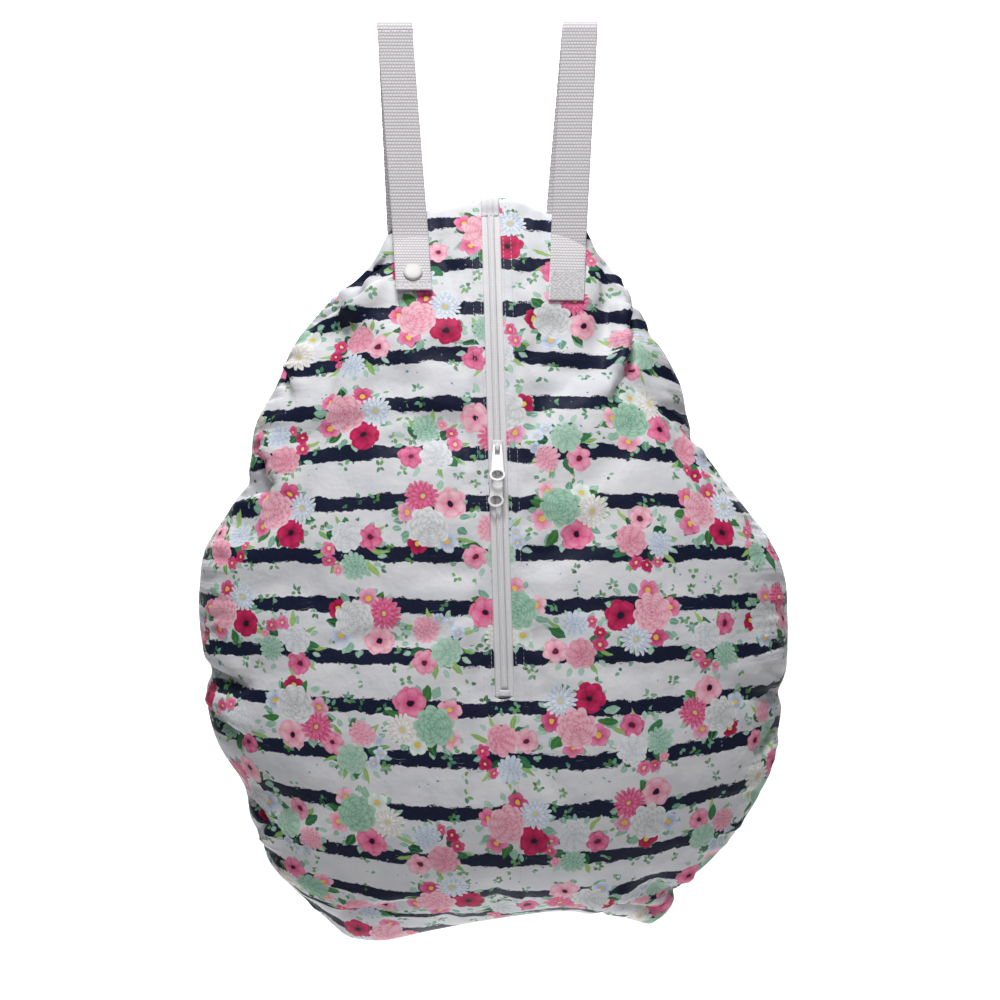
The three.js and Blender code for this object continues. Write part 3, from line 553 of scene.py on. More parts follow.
SPRAY_BLOOMS = (
    (9.0, -13.0, 5.2, SMALL, 0.9, 0.3, 0.2,
     ((186, 30, 84), (210, 60, 118), (150, 170, 210)),
     ((232, 92, 146), (246, 150, 190), (226, 234, 246)), (244, 214, 150)),
    (15.5, -8.0, 4.6, SMALL, 0.1, 0.3, 0.2,
     ((150, 24, 66), (190, 40, 96), (166, 184, 216)),
     ((216, 56, 116), (236, 120, 168), (232, 240, 248)), (240, 206, 140)),
    (17.5, 0.5, 4.0, SMALL, 1.9, 0.3, 0.2,
     ((196, 44, 100), (226, 96, 144), (140, 164, 206)),
     ((238, 120, 166), (250, 186, 210), (218, 230, 244)), (240, 206, 140)),
    (-13.0, 8.5, 8.6, WINDFLOWER, 0.4, 0.2, 0.2,
     ((226, 110, 150), (196, 52, 104), (220, 86, 132)),
     ((252, 212, 224), (240, 138, 178), (248, 182, 206)), (92, 40, 60)),
    (9.5, 8.5, 9.6, POMPOM, 1.4, 0.3, 0.0,
     ((158, 176, 204), (96, 156, 138), (216, 100, 140)),
     ((236, 242, 248), (196, 224, 206), (250, 210, 222)), None),
    (-4.5, -6.0, 11.0, ROSETTE, 2.2, 0.16, 0.0,
     ((206, 78, 122), (178, 186, 196), (110, 166, 146)),
     ((250, 200, 214), (246, 246, 248), (204, 228, 210)), None),
)


def clustered(colour, x, y, grain, shift_x, shift_y, seed, rings, blooms):
    """Lays a bunch of leaves and flowers in each cell of a brick lattice, in one of three kinds."""
    row = ((y + shift_y) / CELL_HEIGHT).floor()
    across = (x + shift_x) / CELL_WIDTH + row * 0.5
    column = across.floor()
    cell = row.node("CombineXYZ", {0: column, 1: row, 2: seed})
    chances = cell.node("TexWhiteNoise", {"Vector": cell}, output=1, noise_dimensions="3D").channels()
    kind = ((column + row * 2) / 3).fract() * 3
    cx = (across.fract() - 0.5) * CELL_WIDTH + (chances[0] - 0.5) * 12
    cy = (((y + shift_y) / CELL_HEIGHT).fract() - 0.5) * CELL_HEIGHT + (chances[1] - 0.5) * 7
    swing = chances[2] * 6.28
    turned_x = cx * swing.cos() + cy * swing.sin()
    turned_y = cy * swing.cos() - cx * swing.sin()

    for count, start, length, width, turn, ring_seed, share, deep, pale in rings:
        leaf, tint, rib = leaf_ring(cx, cy * 1.1, count, start, length, width, swing + turn, ring_seed,
                                    cell, share)
        green = (tint * 1.3 + grain * 0.5 - 0.25).clamp().mix(deep, pale)
        colour = leaf.mix(colour, rib.mix(pale, green))
    for off_x, off_y, radius, layers, turn, ruffle, heart, deeps, pales, middle in blooms:
        cover, tone, reach = flower(turned_x - off_x, turned_y - off_y, radius, layers, turn, ruffle,
                                    heart)
        tone = (tone ** 2.1 * 1.15 + (grain - 0.5) * 0.6).clamp()
        paint = palette(kind, tone, deeps, pales)
        if middle:
            paint = reach.ramp(heart * 1.25, heart).mix(paint, rgba(*middle))
        colour = cover.mix(colour, paint)
    return colour


def print_colour(cloth_map):
    """The colour of the printed cloth at a place of its map."""
    flat = cloth_map.node("VectorMath", {0: cloth_map, "Scale": 1000.0}, operation="SCALE")
    wander = flat.node("TexNoise", {"Vector": flat, "Scale": 0.11, "Detail": 2.0}, output=1).channels()
    x, y = [part + (sway - 0.5) * 5.0 for part, sway in zip(flat.parts()[:2], wander)]
    paper = x.node("CombineXYZ", {0: x, 1: y})
    grain = flat.noise(0.35, 4.0, 0.6)
    wash = flat.noise(0.055, 3.0)

    colour = wash.ramp(0.35, 0.7).mix(GROUND, rgba(217, 218, 224))
    stripes = brush_stripes(x, y, paper)
    colour = stripes.mix(colour, grain.ramp(0.2, 0.8).mix(NAVY, rgba(31, 38, 64)))

    # Loose sprigs and berries between the clusters
    spots = flat.node("TexVoronoi", {"Vector": paper, "Scale": 0.058}, output=2)
    away = paper.node("VectorMath", {0: paper, 1: spots}, operation="SUBTRACT")
    away_x, away_y, _ = away.parts()
    here = spots.node("TexWhiteNoise", {"Vector": spots}, noise_dimensions="3D")
    sprig, tint, rib = leaf_ring(away_x, away_y, 6, 0.8, 5.4, 1.5, here * 6.28, 2.0, spots, 0.55)
    shown = here.over(0.42)
    greens = tint.node("ValToRGB", {0: tint}, stops=[
        (0, rgb(38, 92, 58)), (0.18, rgb(110, 168, 84)), (0.36, rgb(128, 178, 156)),
        (0.55, rgb(60, 122, 84))])
    colour = (sprig * shown * (rib * 0.35 + 0.65)).mix(colour, greens)
    dots = flat.node("TexVoronoi", {"Vector": paper, "Scale": 0.17})
    dot_chance = flat.node("TexVoronoi", {"Vector": paper, "Scale": 0.17}, output=1).channels()[0]
    berry = (0.15 - dots).ramp(0, 0.06) * dot_chance.over(0.8)
    colour = berry.mix(colour, grain.mix(rgba(70, 90, 150), rgba(160, 178, 218)))

    colour = clustered(colour, x, y, grain, 0.5 * CELL_WIDTH, 0.27 * CELL_HEIGHT, 8.1,
                       SPRAY_RINGS, SPRAY_BLOOMS)
    colour = clustered(colour, x, y, grain, 0.0, 0.0, 3.7, POSY_RINGS, POSY_BLOOMS)
    return colour, flat


def printed_material():
    material, wire = new_material("printed_cloth")
    cloth_map = wire.node("UVMap", uv_map="cloth")
    colour, flat = print_colour(cloth_map)
    from_seam = wire.node("Attribute", attribute_name="from_seam", output=2)
    near_seam = (from_seam * (-1 / 17)).math("EXPONENT")
    gathers = flat.node("Mapping", {"Vector": flat, "Scale": (0.016, 0.13, 1)}).noise(1.0, 2.0)
    puckers = flat.noise(0.04, 3.0, 0.6)
    height = puckers * 2.4 + gathers * near_seam * 5.0 + flat.noise(0.6, 3.0) * 0.12
    set_shader(
        material, Base_Color=colour, Roughness=flat.noise(0.05, 2.0) * 0.14 + 0.44,
        Specular_IOR_Level=0.12, Normal=bumped(height, 0.7, 0.0012))
    return material


def webbing_material():
    material, wire = new_material("webbing")
    strap_map = wire.node("UVMap", uv_map="cloth")
    flat = strap_map.node("VectorMath", {0: strap_map, "Scale": 1000.0}, operation="SCALE")
    x, y, _ = flat.parts()
    rows = y / (WEAVE_ROW * 1000)
    stagger = (rows + 0.5).floor() * 0.5
    dash = abs(((x / (WEAVE_COLUMN * 1000) + stagger) * math.pi).cos()) ** 0.4
    # pick is high on each pick of the weave and low in the grooves between them; in the colour its low
    # parts paint shade into the grooves
    pick = dash * abs((rows * math.pi).cos())
    fibre = flat.node("Mapping", {"Vector": flat, "Scale": (1.2, 7, 1)}).noise(1.0, 2.0)
    sewn = wire.node("Attribute", attribute_name="sewn", output=2)
    # On the sewn end, noise in the colour paints the shade of the crinkled cloth
    crinkle_shade = flat.noise(0.5, 2.0, 0.6).ramp(0.36, 0.56) * 0.5 + pick ** 0.5 * 0.2 + 0.25
    tone = (sewn.blend(pick ** 0.7, crinkle_shade) + (fibre - 0.5) * 0.5).clamp()
    # rgba(164, 156, 168) is painted shade, for the grooves between picks and the sewn crinkles;
    # rgba(238, 236, 236) is the webbing's own pale colour, and the fibre noise its own random tone
    colour = tone.mix(rgba(164, 156, 168), rgba(238, 236, 236))
    set_shader(material, Base_Color=colour, Roughness=0.82, Specular_IOR_Level=0.25,
               Sheen_Weight=0.15, Normal=bumped(fibre * 0.4 + tone * 0.6, 0.4, 0.0003))
    return material


def tape_material():
    """Woven zip tape: fine ribs across, on the object's own coordinates, with painted shade darker
    between the ribs.
    """
    material, wire = new_material("zip_tape_weave")
    place = wire.node("TexCoord", output=3)
    height = place.parts()[2]
    ribs = abs((height * (math.pi / 0.0011)).sin())
    thread = place.noise(900.0, 2.0)
    # Low values of ribs paint shade into the grooves between the ribs; the thread noise is the tape's
    # own random tone
    tone = (ribs * 0.5 + thread * 0.5).clamp()
    set_shader(material, Base_Color=tone.mix(rgba(214, 213, 216), rgba(234, 233, 235)),
               Roughness=0.7, Specular_IOR_Level=0.3, Normal=bumped(tone, 0.5, 0.0002))
    return material


def smooth_material(name, pale, dark, roughness, scale, coat=0.0):
    """Moulded or enamelled: a slight cloud in the colour, and fine wear in the gloss."""
    material, wire = new_material(name)
    place = wire.node("TexCoord", output=3)
    cloud = place.noise(scale, 3.0)
    wear = place.noise(scale * 9, 4.0, 0.6)
    set_shader(material, Base_Color=cloud.ramp(0.3, 0.7).mix(rgba(*pale), rgba(*dark)),
               Roughness=wear * 0.16 + roughness, Coat_Weight=coat, Coat_Roughness=0.15,
               Normal=bumped(wear, 0.12, 0.0001))
    return material


# Mesh helpers

def finish_piece(bm, name, material, body="bag", node=None):
    """Makes an object of a bmesh, at the origin, riding on its body."""
    mesh = bpy.data.meshes.new(name)
    bm.to_mesh(mesh)
    bm.free()
    return finish_mesh(mesh, name, material, body, node)


def finish_mesh(mesh, name, material, body="bag", node=None):
    piece = bpy.data.objects.new(name, mesh)
    bpy.context.scene.collection.objects.link(piece)
    mesh.materials.clear()
    mesh.materials.append(material)
    for polygon in mesh.polygons:
        polygon.use_smooth = True
    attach(piece, body)
    if node:
        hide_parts(node)
    return piece


def lofted(bm, points, uvs=None):
    """Adds a grid of quads to a bmesh and moves its vertices to an array of rows of points."""
    rows, columns = points.shape[:2]
    made = bmesh.ops.create_grid(bm, x_segments=columns - 1, y_segments=rows - 1, size=1)
    place = {}
    for vert in made["verts"]:
        i = round((vert.co.y + 1) / 2 * (rows - 1))
        j = round((vert.co.x + 1) / 2 * (columns - 1))
        place[vert] = (i, j)
    for vert, where in place.items():
        vert.co = points[where]
    faces = {face for vert in made["verts"] for face in vert.link_faces}
    if uvs is not None:
        layer = bm.loops.layers.uv.get("cloth") or bm.loops.layers.uv.new("cloth")
        for face in faces:
            for loop in face.loops:
                loop[layer].uv = uvs[place[loop.vert]]
    return place, list(faces)


def closed_sheet(piece, thickness, offset=1.0):
    """Gives a sheet its thickness, outward for an offset of 1 and inward for -1."""
    wall = piece.modifiers.new("wall", "SOLIDIFY")
    wall.thickness = thickness
    wall.offset = offset


def stamped(bm, mesh, places):
    """Adds a copy of a small mesh at each place."""
    for place in places:
        mesh.transform(place)
        bm.from_mesh(mesh)
        mesh.transform(place.inverted())


def capsule(radius, length, around=6, rings=5):
    """A thread or tooth: a sphere drawn out along x."""
    bm = bmesh.new()
    bmesh.ops.create_uvsphere(bm, u_segments=around, v_segments=rings, radius=1)
    bmesh.ops.rotate(bm, verts=bm.verts, matrix=Matrix.Rotation(math.pi / 2, 3, "Y"))
    bmesh.ops.scale(bm, vec=(length / 2, radius, radius), verts=bm.verts)
    mesh = bpy.data.meshes.new("capsule")
    bm.to_mesh(mesh)
    bm.free()
    return mesh


def aligned(start, end):
    """The place of a capsule that runs from one point to another."""
    run = end - start
    middle = (start + end) / 2
    return Matrix.Translation(middle) @ run.to_track_quat("X", "Z").to_matrix().to_4x4()


# The printed cloth body
SIDE_COLUMNS = 34
ZIP_ROWS = 60
LOWER_ROWS = 24
ROW_CROWDING = 1.15
COLUMN_CROWDING = 1.05
SEAM_CREASE = 0.75
SETTLE_FRAMES = 22
SETTLE_SLACK = 0.028
SETTLE_LIMIT = 0.009
UNEVEN_DEPTH = 0.0022
UNEVEN_PITCH = 0.034
GATHER_FINE = 0.0075
GATHER_RISE = 0.0035
BACK_PRINT_SHIFT = (0.247, 0.009)
PRINT_MARGIN = 0.05
STRIPE_BOW = ((-0.52, -0.4, -0.24), (-0.027, 0, 0.015))  # heights, and how far the stripes' ends droop
BOW_POWER = 2.4


def row_shares():
    end = shares_at(zip_x(CREST_Z - ZIP_DROP), CREST_Z - ZIP_DROP)[1]
    upper = end * (np.arange(ZIP_ROWS) / ZIP_ROWS) ** ROW_CROWDING
    lower = 1 - (1 - end) * (1 - np.arange(LOWER_ROWS + 1) / LOWER_ROWS) ** ROW_CROWDING
    return np.concatenate([upper, lower])


def zip_x_of_row(down):
    left, right = edge_x(-1, down), edge_x(1, down)
    middle = zip_x(np.full(np.shape(down), CREST_Z))
    for _ in range(6):
        middle = zip_x(panel_z((middle - left) / (right - left), down))
    return middle


def panel_points(face):
    """Rows of points of a panel, with two columns over the slit."""
    down = row_shares()
    left, right, middle = edge_x(-1, down), edge_x(1, down), zip_x_of_row(down)
    share = np.sin(math.pi / 2 * np.arange(SIDE_COLUMNS + 1) / SIDE_COLUMNS) ** COLUMN_CROWDING
    to_left = left[:, None] + (middle - SLIT_WIDTH / 2 - left)[:, None] * share
    to_right = right[:, None] + (middle + SLIT_WIDTH / 2 - right)[:, None] * share
    x = np.hstack([to_left, middle[:, None], to_right[:, ::-1]])
    across = (x - left[:, None]) / (right - left)[:, None]
    down = down[:, None] * np.ones_like(across)
    z = panel_z(across, down)
    depth = fullness(face, across, down, x, z)
    depth[[0, -1], :] = 0
    depth[:, [0, -1]] = 0
    return np.dstack([x, -depth if face == "front" else depth, z])


def print_coordinates(points):
    """The cloth's own map: along the cloth from the zip, and down it along the middle."""
    middle = SIDE_COLUMNS + 1
    steps = np.linalg.norm(np.diff(points[:, :, :2], axis=1), axis=2)
    u = np.concatenate([np.zeros((len(points), 1)), np.cumsum(steps, axis=1)], axis=1)
    u = u - u[:, middle:middle + 1]
    runs = np.linalg.norm(np.diff(points[:, middle], axis=0), axis=1)
    fall = np.concatenate([[-PRINT_MARGIN], [0], np.cumsum(runs), [runs.sum() + PRINT_MARGIN]])
    drop = CREST_Z - points[:, middle, 2]
    drop = np.concatenate([[drop[0] - PRINT_MARGIN], drop, [drop[-1] + PRINT_MARGIN]])
    aside = np.abs(u) / np.where(u < 0, -u[:, :1], u[:, -1:])
    bow = aside**BOW_POWER * np.interp(points[:, :, 2], *STRIPE_BOW)
    v = np.interp(CREST_Z - points[:, :, 2] - bow, drop, fall)
    return np.dstack([u, -v])


def turned_lip(bm, rim, turns):
    """Turns the cloth's cut edge in round the slit."""
    for depth, spread in turns:
        made = bmesh.ops.extrude_edge_only(bm, edges=rim)["geom"]
        for vert in (item for item in made if isinstance(item, bmesh.types.BMVert)):
            side = math.copysign(1, vert.co.x - float(zip_x(vert.co.z)))
            vert.co.y += depth
            vert.co.x += side * spread
        rim = [item for item in made if isinstance(item, bmesh.types.BMEdge) and item.is_boundary]


def points_of(mesh, value="co"):
    values = np.zeros(len(mesh.vertices) * 3)
    mesh.vertices.foreach_get(value, values)
    return values.reshape(-1, 3)


def seam_distance(places):
    """How far each point lies in from the side seam."""
    x, _, z = places.T
    down = shares_at(x, z)[1]
    return np.maximum(0, np.minimum(x - edge_x(-1, down), edge_x(1, down) - x))


def press_creases(mesh):
    """Presses the crisp creases and the short gathers of the side seams into the fine cloth."""
    places, normals = points_of(mesh), points_of(mesh, "normal")
    free = 1 - held_shares(places)
    seam = seam_distance(places)
    height = crease_height(places[:, 0], places[:, 2]) * (places[:, 1] < 0)
    gather = np.array([noise.noise(Vector((x / 0.03, side, z / GATHER_FINE)))
                       for x, side, z in zip(places[:, 0], np.sign(places[:, 1]), places[:, 2])])
    height = height + GATHER_RISE * gather * np.exp(-((seam - 0.008) / 0.014) ** 2)
    places = places + normals * (height * np.minimum(free, seam / 0.004))[:, None]
    mesh.vertices.foreach_set("co", places.ravel())
    mesh.update()


def held_shares(places):
    """How firmly each point of the cloth is held: by the seams, the zip and the webbing."""
    x, y, z = places.T
    held = np.where(np.abs(y) < 1e-5, 1.0, 0.0)
    over_zip = (y < 0) & (z > CREST_Z - ZIP_DROP - 0.008)
    from_zip = np.abs(x - zip_x(z)) - SLIT_WIDTH / 2
    held = np.maximum(held, over_zip * (1 - smoothstep(from_zip, 0.004, 0.014)))
    for loop in (LEFT_LOOP, RIGHT_LOOP):
        for face, length in (("front", loop["length"]), ("back", BACK_LENGTH)):
            from_strap = np.abs(x - loop_x(loop, face, z)) - STRAP_WIDTH / 2
            from_strap = np.maximum(from_strap, -length - z)
            facing = y < 0 if face == "front" else y > 0
            held = np.maximum(held, facing * (1 - smoothstep(from_strap, 0.003, 0.014)))
    return held


def settle(body):
    """Lets the filled cloth buckle and crease between the places that hold it."""
    mesh = body.data
    start = points_of(mesh)
    held = held_shares(start)
    uneven = np.array([noise.noise(Vector(place) / UNEVEN_PITCH) for place in start])
    uneven = uneven * UNEVEN_DEPTH * (1 - held)
    filled = start + np.stack([0 * uneven, uneven * np.sign(start[:, 1]), 0 * uneven], axis=-1)
    mesh.vertices.foreach_set("co", filled.ravel())
    group = body.vertex_groups.new(name="held")
    for index, share in enumerate(held):
        group.add([index], float(share), "REPLACE")
    cloth = body.modifiers.new("settle", "CLOTH")
    weave = cloth.settings
    weave.quality = 6
    weave.mass = 0.2
    weave.tension_stiffness = 30
    weave.compression_stiffness = 30
    weave.shear_stiffness = 12
    weave.bending_stiffness = 0.15
    weave.tension_damping = 15
    weave.compression_damping = 15
    weave.shear_damping = 15
    weave.bending_damping = 1
    weave.air_damping = 4
    weave.effector_weights.gravity = 0
    weave.vertex_group_mass = "held"
    weave.pin_stiffness = 2
    weave.use_pressure = True
    weave.uniform_pressure_force = 1.5
    weave.shrink_min = -SETTLE_SLACK
    cloth.collision_settings.use_collision = False
    cloth.collision_settings.use_self_collision = False
    cloth.point_cache.frame_start = 1
    cloth.point_cache.frame_end = SETTLE_FRAMES
    scene = bpy.context.scene
    for step in range(1, SETTLE_FRAMES + 1):
        scene.frame_set(step)
    end = points_of(body.evaluated_get(bpy.context.evaluated_depsgraph_get()).data)
    body.modifiers.remove(cloth)
    body.vertex_groups.remove(group)
    scene.frame_set(1)
    moved = end - start
    length = np.linalg.norm(moved, axis=1, keepdims=True) + 1e-9
    moved = moved * SETTLE_LIMIT * np.tanh(length / SETTLE_LIMIT) / length * (1 - held[:, None] ** 2)
    mesh.vertices.foreach_set("co", (start + moved).ravel())
    mesh.update()


def make_body(material):
    bm = bmesh.new()
    for face in ("front", "back"):
        points = panel_points(face)
        shift = 0 if face == "front" else np.array(BACK_PRINT_SHIFT)
        place, faces = lofted(bm, points, print_coordinates(points) + shift)
        if face == "front":
            middle = SIDE_COLUMNS + 1
            opened = [f for f in faces if all(
                1 <= place[v][0] <= ZIP_ROWS and abs(place[v][1] - middle) <= 1 for v in f.verts)]
            bmesh.ops.delete(bm, geom=opened, context="FACES")
    bmesh.ops.remove_doubles(bm, verts=bm.verts, dist=1e-5)
    bmesh.ops.recalc_face_normals(bm, faces=bm.faces)
    crease = bm.edges.layers.float.new("crease_edge")
    for edge in bm.edges:
        if all(abs(vert.co.y) < 1e-7 for vert in edge.verts):
            edge[crease] = SEAM_CREASE
    turned_lip(bm, [edge for edge in bm.edges if edge.is_boundary],
               ((0.0005, 0.0), (0.0016, 0.0009)))
    body = finish_piece(bm, "printed_cloth_body", material, node="bag_body")
    settle(body)
    smooth = body.modifiers.new("smooth", "SUBSURF")
    smooth.levels = 1
    smooth.render_levels = 1
    fine = bpy.data.meshes.new_from_object(body.evaluated_get(bpy.context.evaluated_depsgraph_get()))
    body.modifiers.remove(smooth)
    body.data = fine
    press_creases(fine)
    from_seam = fine.attributes.new("from_seam", "FLOAT", "POINT")
    from_seam.data.foreach_set("value", 1000 * seam_distance(points_of(fine)))
    closed_sheet(body, CLOTH_THICKNESS, -1.0)
    return body


# Webbing loops
LEFT_LOOP = {"side": -1, "length": 0.192, "lean": 0.015, "snapped": True}
RIGHT_LOOP = {"side": 1, "length": 0.199, "lean": 0.011, "snapped": False}
STRAP_LANES = 44
LEG_STATIONS = 330
CREST_STATIONS = 36
WEAVE_COLUMN = 0.0021
WEAVE_ROW = 0.0023
WEAVE_HEIGHT = 0.00024
PATCH_HEIGHT = 0.0225
HEM_HEIGHT = 0.007


def loop_x(loop, face, z):
    share = -z / loop["length"]
    skew = STRAP_SKEW * share if face == "back" else 0
    return loop["side"] * (STRAP_SPACING / 2 - loop["lean"] * share) - skew


def lane_depth(loop, face, x, z):
    touch_z = CREST_Z - STRAP_TOUCH
    touch = np.abs(cloth_y(face, loop_x(loop, face, touch_z), touch_z))
    hanging = RAIL_RADIUS + (touch - RAIL_RADIUS) * np.minimum(z / touch_z, 1)
    lies = z < panel_z(shares_at(x, z)[0], 0)
    along = np.where(lies, np.abs(cloth_y(face, x, z)) + STRAP_SEAT * slant(face, x, z), 0)
    settled = smoothstep(touch_z - z, 0, STRAP_SETTLE)
    return np.maximum(hanging + (along - hanging) * settled, along)


def across_leg(loop, face, z, lanes):
    """x and z of a leg's lanes at an array of heights."""
    z = np.asarray(z, float)[:, None] * np.ones(len(lanes))
    return loop_x(loop, face, z) + STRAP_WIDTH * (np.asarray(lanes) - 0.5), z


def leg_depth(loop, face, heights, lanes):
    x, z = across_leg(loop, face, heights, lanes)
    depth = lane_depth(loop, face, x, z)
    if face == "back" or not loop["snapped"]:
        return depth
    stiff_z = -loop["length"] + 2 * SNAP_FROM_END
    ends = np.array([0, 1 / 3, 2 / 3, 1])
    most = lane_depth(loop, face, *across_leg(loop, face, [stiff_z, stiff_z + STUD_HEIGHT], ends))
    most = most.max(axis=1)
    here = lane_depth(loop, face, *across_leg(loop, face, heights, ends)).max(axis=1)[:, None]
    lift = STUD_HEIGHT + CLEARANCE
    growth = (most[0] - most[1]) / STUD_HEIGHT
    stiff = smoothstep(stiff_z + 2 * SNAP_FROM_END - z, 0, 2 * SNAP_FROM_END)
    lifted = depth + (here + lift - depth) * stiff
    return np.where(z < stiff_z, most[0] + lift + growth * (stiff_z - z), lifted)


def leg_points(loop, face, heights, lanes):
    x, z = across_leg(loop, face, heights, lanes)
    depth = leg_depth(loop, face, heights, lanes)
    return np.dstack([x, -depth if face == "front" else depth, z])


def loop_points(loop):
    lanes = np.arange(STRAP_LANES + 1) / STRAP_LANES
    share = np.arange(LEG_STATIONS) / LEG_STATIONS
    front = leg_points(loop, "front", -loop["length"] + (loop["length"] - RAIL_RADIUS) * share, lanes)
    back = leg_points(loop, "back", -BACK_LENGTH + (BACK_LENGTH - RAIL_RADIUS) * share, lanes)[::-1]
    turn = math.pi * np.arange(CREST_STATIONS + 1)[:, None] / CREST_STATIONS * np.ones(len(lanes))
    share = RAIL_RADIUS * (1 - np.sin(turn)) / loop["length"]
    x = loop["side"] * (STRAP_SPACING / 2 - loop["lean"] * share) + STRAP_WIDTH * (lanes - 0.5)
    crest = np.dstack([x, -RAIL_RADIUS * np.cos(turn), RAIL_RADIUS * (np.sin(turn) - 1)])
    return np.concatenate([front, crest, back])


def grid_normals(points):
    across = np.gradient(points, axis=1)
    along = np.gradient(points, axis=0)
    normal = np.cross(across, along)
    return normal / np.linalg.norm(normal, axis=2)[:, :, None]


def weave_height(across, along):
    """How far the picks of the webbing stand up, at places across and along it."""
    rows = along / WEAVE_ROW
    stagger = np.floor(rows + 0.5) * 0.5
    dash = np.abs(np.cos(math.pi * (across / WEAVE_COLUMN + stagger))) ** 0.4
    return WEAVE_HEIGHT * np.sqrt(dash * np.abs(np.cos(math.pi * rows)))


def make_loop(name, loop, node, material):
    points = loop_points(loop)
    middle = points[:, STRAP_LANES // 2]
    steps = np.linalg.norm(np.diff(middle, axis=0), axis=1)
    along = np.concatenate([[0], np.cumsum(steps)])[:, None] * np.ones(STRAP_LANES + 1)
    across = STRAP_WIDTH * (np.arange(STRAP_LANES + 1) / STRAP_LANES - 0.5) + 0 * along
    from_edge = STRAP_WIDTH / 2 - np.abs(across)
    height = weave_height(across, along) * np.clip(from_edge / 0.001, 0.25, 1)
    stitched = HEM_HEIGHT if loop["snapped"] else PATCH_HEIGHT
    height = np.where(along < stitched, height * 0.25, height)
    body = STRAP_THICKNESS - WEAVE_HEIGHT
    rounding = 0.0004 * np.exp(-from_edge / 0.0006)
    outer = points + grid_normals(points) * (body - rounding + height)[:, :, None]
    bm = bmesh.new()
    lofted(bm, outer, np.dstack([across, along]))
    piece = finish_piece(bm, name, material, node=node)
    places = points_of(piece.data)
    sewn = (places[:, 1] < 0) * smoothstep(stitched - loop["length"] - places[:, 2], 0, 0.0008)
    piece.data.attributes.new("sewn", "FLOAT", "POINT").data.foreach_set("value", sewn)
    closed_sheet(piece, body * 0.85, -1.0)
    return piece


def leg_face(loop, heights, lanes):
    """Points on the outer face of a front leg, in rows by height."""
    points = leg_points(loop, "front", heights, lanes)
    return points + grid_normals(points) * (STRAP_THICKNESS - 0.5 * WEAVE_HEIGHT)


def make_hem_stitches(material):
    """Thread on the two front ends: a zigzag patch on the right, hem rows on the left."""
    bm = bmesh.new()
    thread = capsule(0.00022, 0.0021)
    margin = 0.0012 / STRAP_WIDTH  # as a share of the width
    places = []

    rows, steps = 18, 15
    pitch = PATCH_HEIGHT / rows
    lanes = np.linspace(margin, 1 - margin, steps + 1)
    corner = np.arange(2 * rows)
    heights = -RIGHT_LOOP["length"] + pitch * (corner // 2 + 0.1 + 0.8 * (corner % 2))
    face = leg_face(RIGHT_LOOP, heights, lanes)
    for row in range(rows):
        for n in range(steps):
            low = (n + row) % 2
            start, end = face[2 * row + low, n], face[2 * row + 1 - low, n + 1]
            places.append(aligned(Vector(start), Vector(end)))

    stitches = 11
    lanes = np.linspace(margin, 1 - margin, 2 * stitches)
    face = leg_face(LEFT_LOOP, -LEFT_LOOP["length"] + np.array([0.0022, 0.0046, 0.0058]), lanes)
    for row in face:
        for n in range(stitches):
            places.append(aligned(Vector(row[2 * n]), Vector(row[2 * n + 1])))
    stamped(bm, thread, places)
    return finish_piece(bm, "webbing_stitches", material)


# Zip
STITCH_PITCH = 0.0032
STITCH_LENGTH = 0.0027
STITCH_RADIUS = 0.00017
STITCH_ROWS = (0.0018, 0.0072)


def make_tape(material):
    heights = np.linspace(CREST_Z - ZIP_DROP + 0.0005, CREST_Z - 0.004, 150)
    ribs = np.array(((-0.0105, 0), (-0.0062, 0), (-0.0058, 0.0003), (-0.0046, 0.0003), (-0.0042, 0),
                     (0.0042, 0), (0.0046, 0.0003), (0.0058, 0.0003), (0.0062, 0), (0.0105, 0)))
    points = tape_points(heights)[:, None, :] * np.ones((1, len(ribs), 1))
    points[:, :, 0] += ribs[:, 0]
    points[:, :, 1] += 0.0002 - ribs[:, 1]
    bm = bmesh.new()
    lofted(bm, points)
    piece = finish_piece(bm, "woven_zip_tape", material, node="zip_tape")
    closed_sheet(piece, 0.0006, -1.0)
    return piece


def coil_ridges(across):
    """How far the two covered rows of the coil stand up from the tape."""
    return COIL_THICKNESS * np.exp(-(((np.abs(across) - COIL_ROW) / COIL_ROW_WIDTH) ** 2))


def make_coil(material):
    """The two covered rows of the coil with the groove between, from the tape's end to the stop."""
    end_z = CREST_Z - ZIP_DROP + STOP_LENGTH * 1.5 + CLEARANCE + STOP_RISE
    across = np.linspace(-COIL_WIDTH / 2, COIL_WIDTH / 2, 17)
    points = tape_points(np.linspace(end_z, CREST_Z - FOLD_FRONT, 240))
    points = points[:, None, :] * np.ones((1, len(across), 1))
    points[:, :, 0] += across
    points[:, :, 1] -= CLEARANCE + coil_ridges(across)
    bm = bmesh.new()
    lofted(bm, points)
    piece = finish_piece(bm, "zip_coil_rows", material, node="zip_coil")
    closed_sheet(piece, 0.0004, -1.0)
    return piece


def make_topstitch(material):
    """Two rows of stitches on each side of the slit."""
    bm = bmesh.new()
    thread = capsule(STITCH_RADIUS, STITCH_LENGTH)
    places = []
    tops = CREST_Z - 0.004 - STITCH_PITCH * np.arange(int((ZIP_DROP + 0.004) / STITCH_PITCH))
    for offset in STITCH_ROWS:
        for side in (-1, 1):
            z = np.stack([tops, tops - STITCH_LENGTH])
            x = zip_x(z) + side * (SLIT_WIDTH / 2 + offset)
            ends = np.stack([x, cloth_y("front", x, z), z], axis=-1)
            places += [aligned(Vector(start), Vector(end)) for start, end in zip(*ends)]
    stamped(bm, thread, places)
    return finish_piece(bm, "zip_topstitch", material)


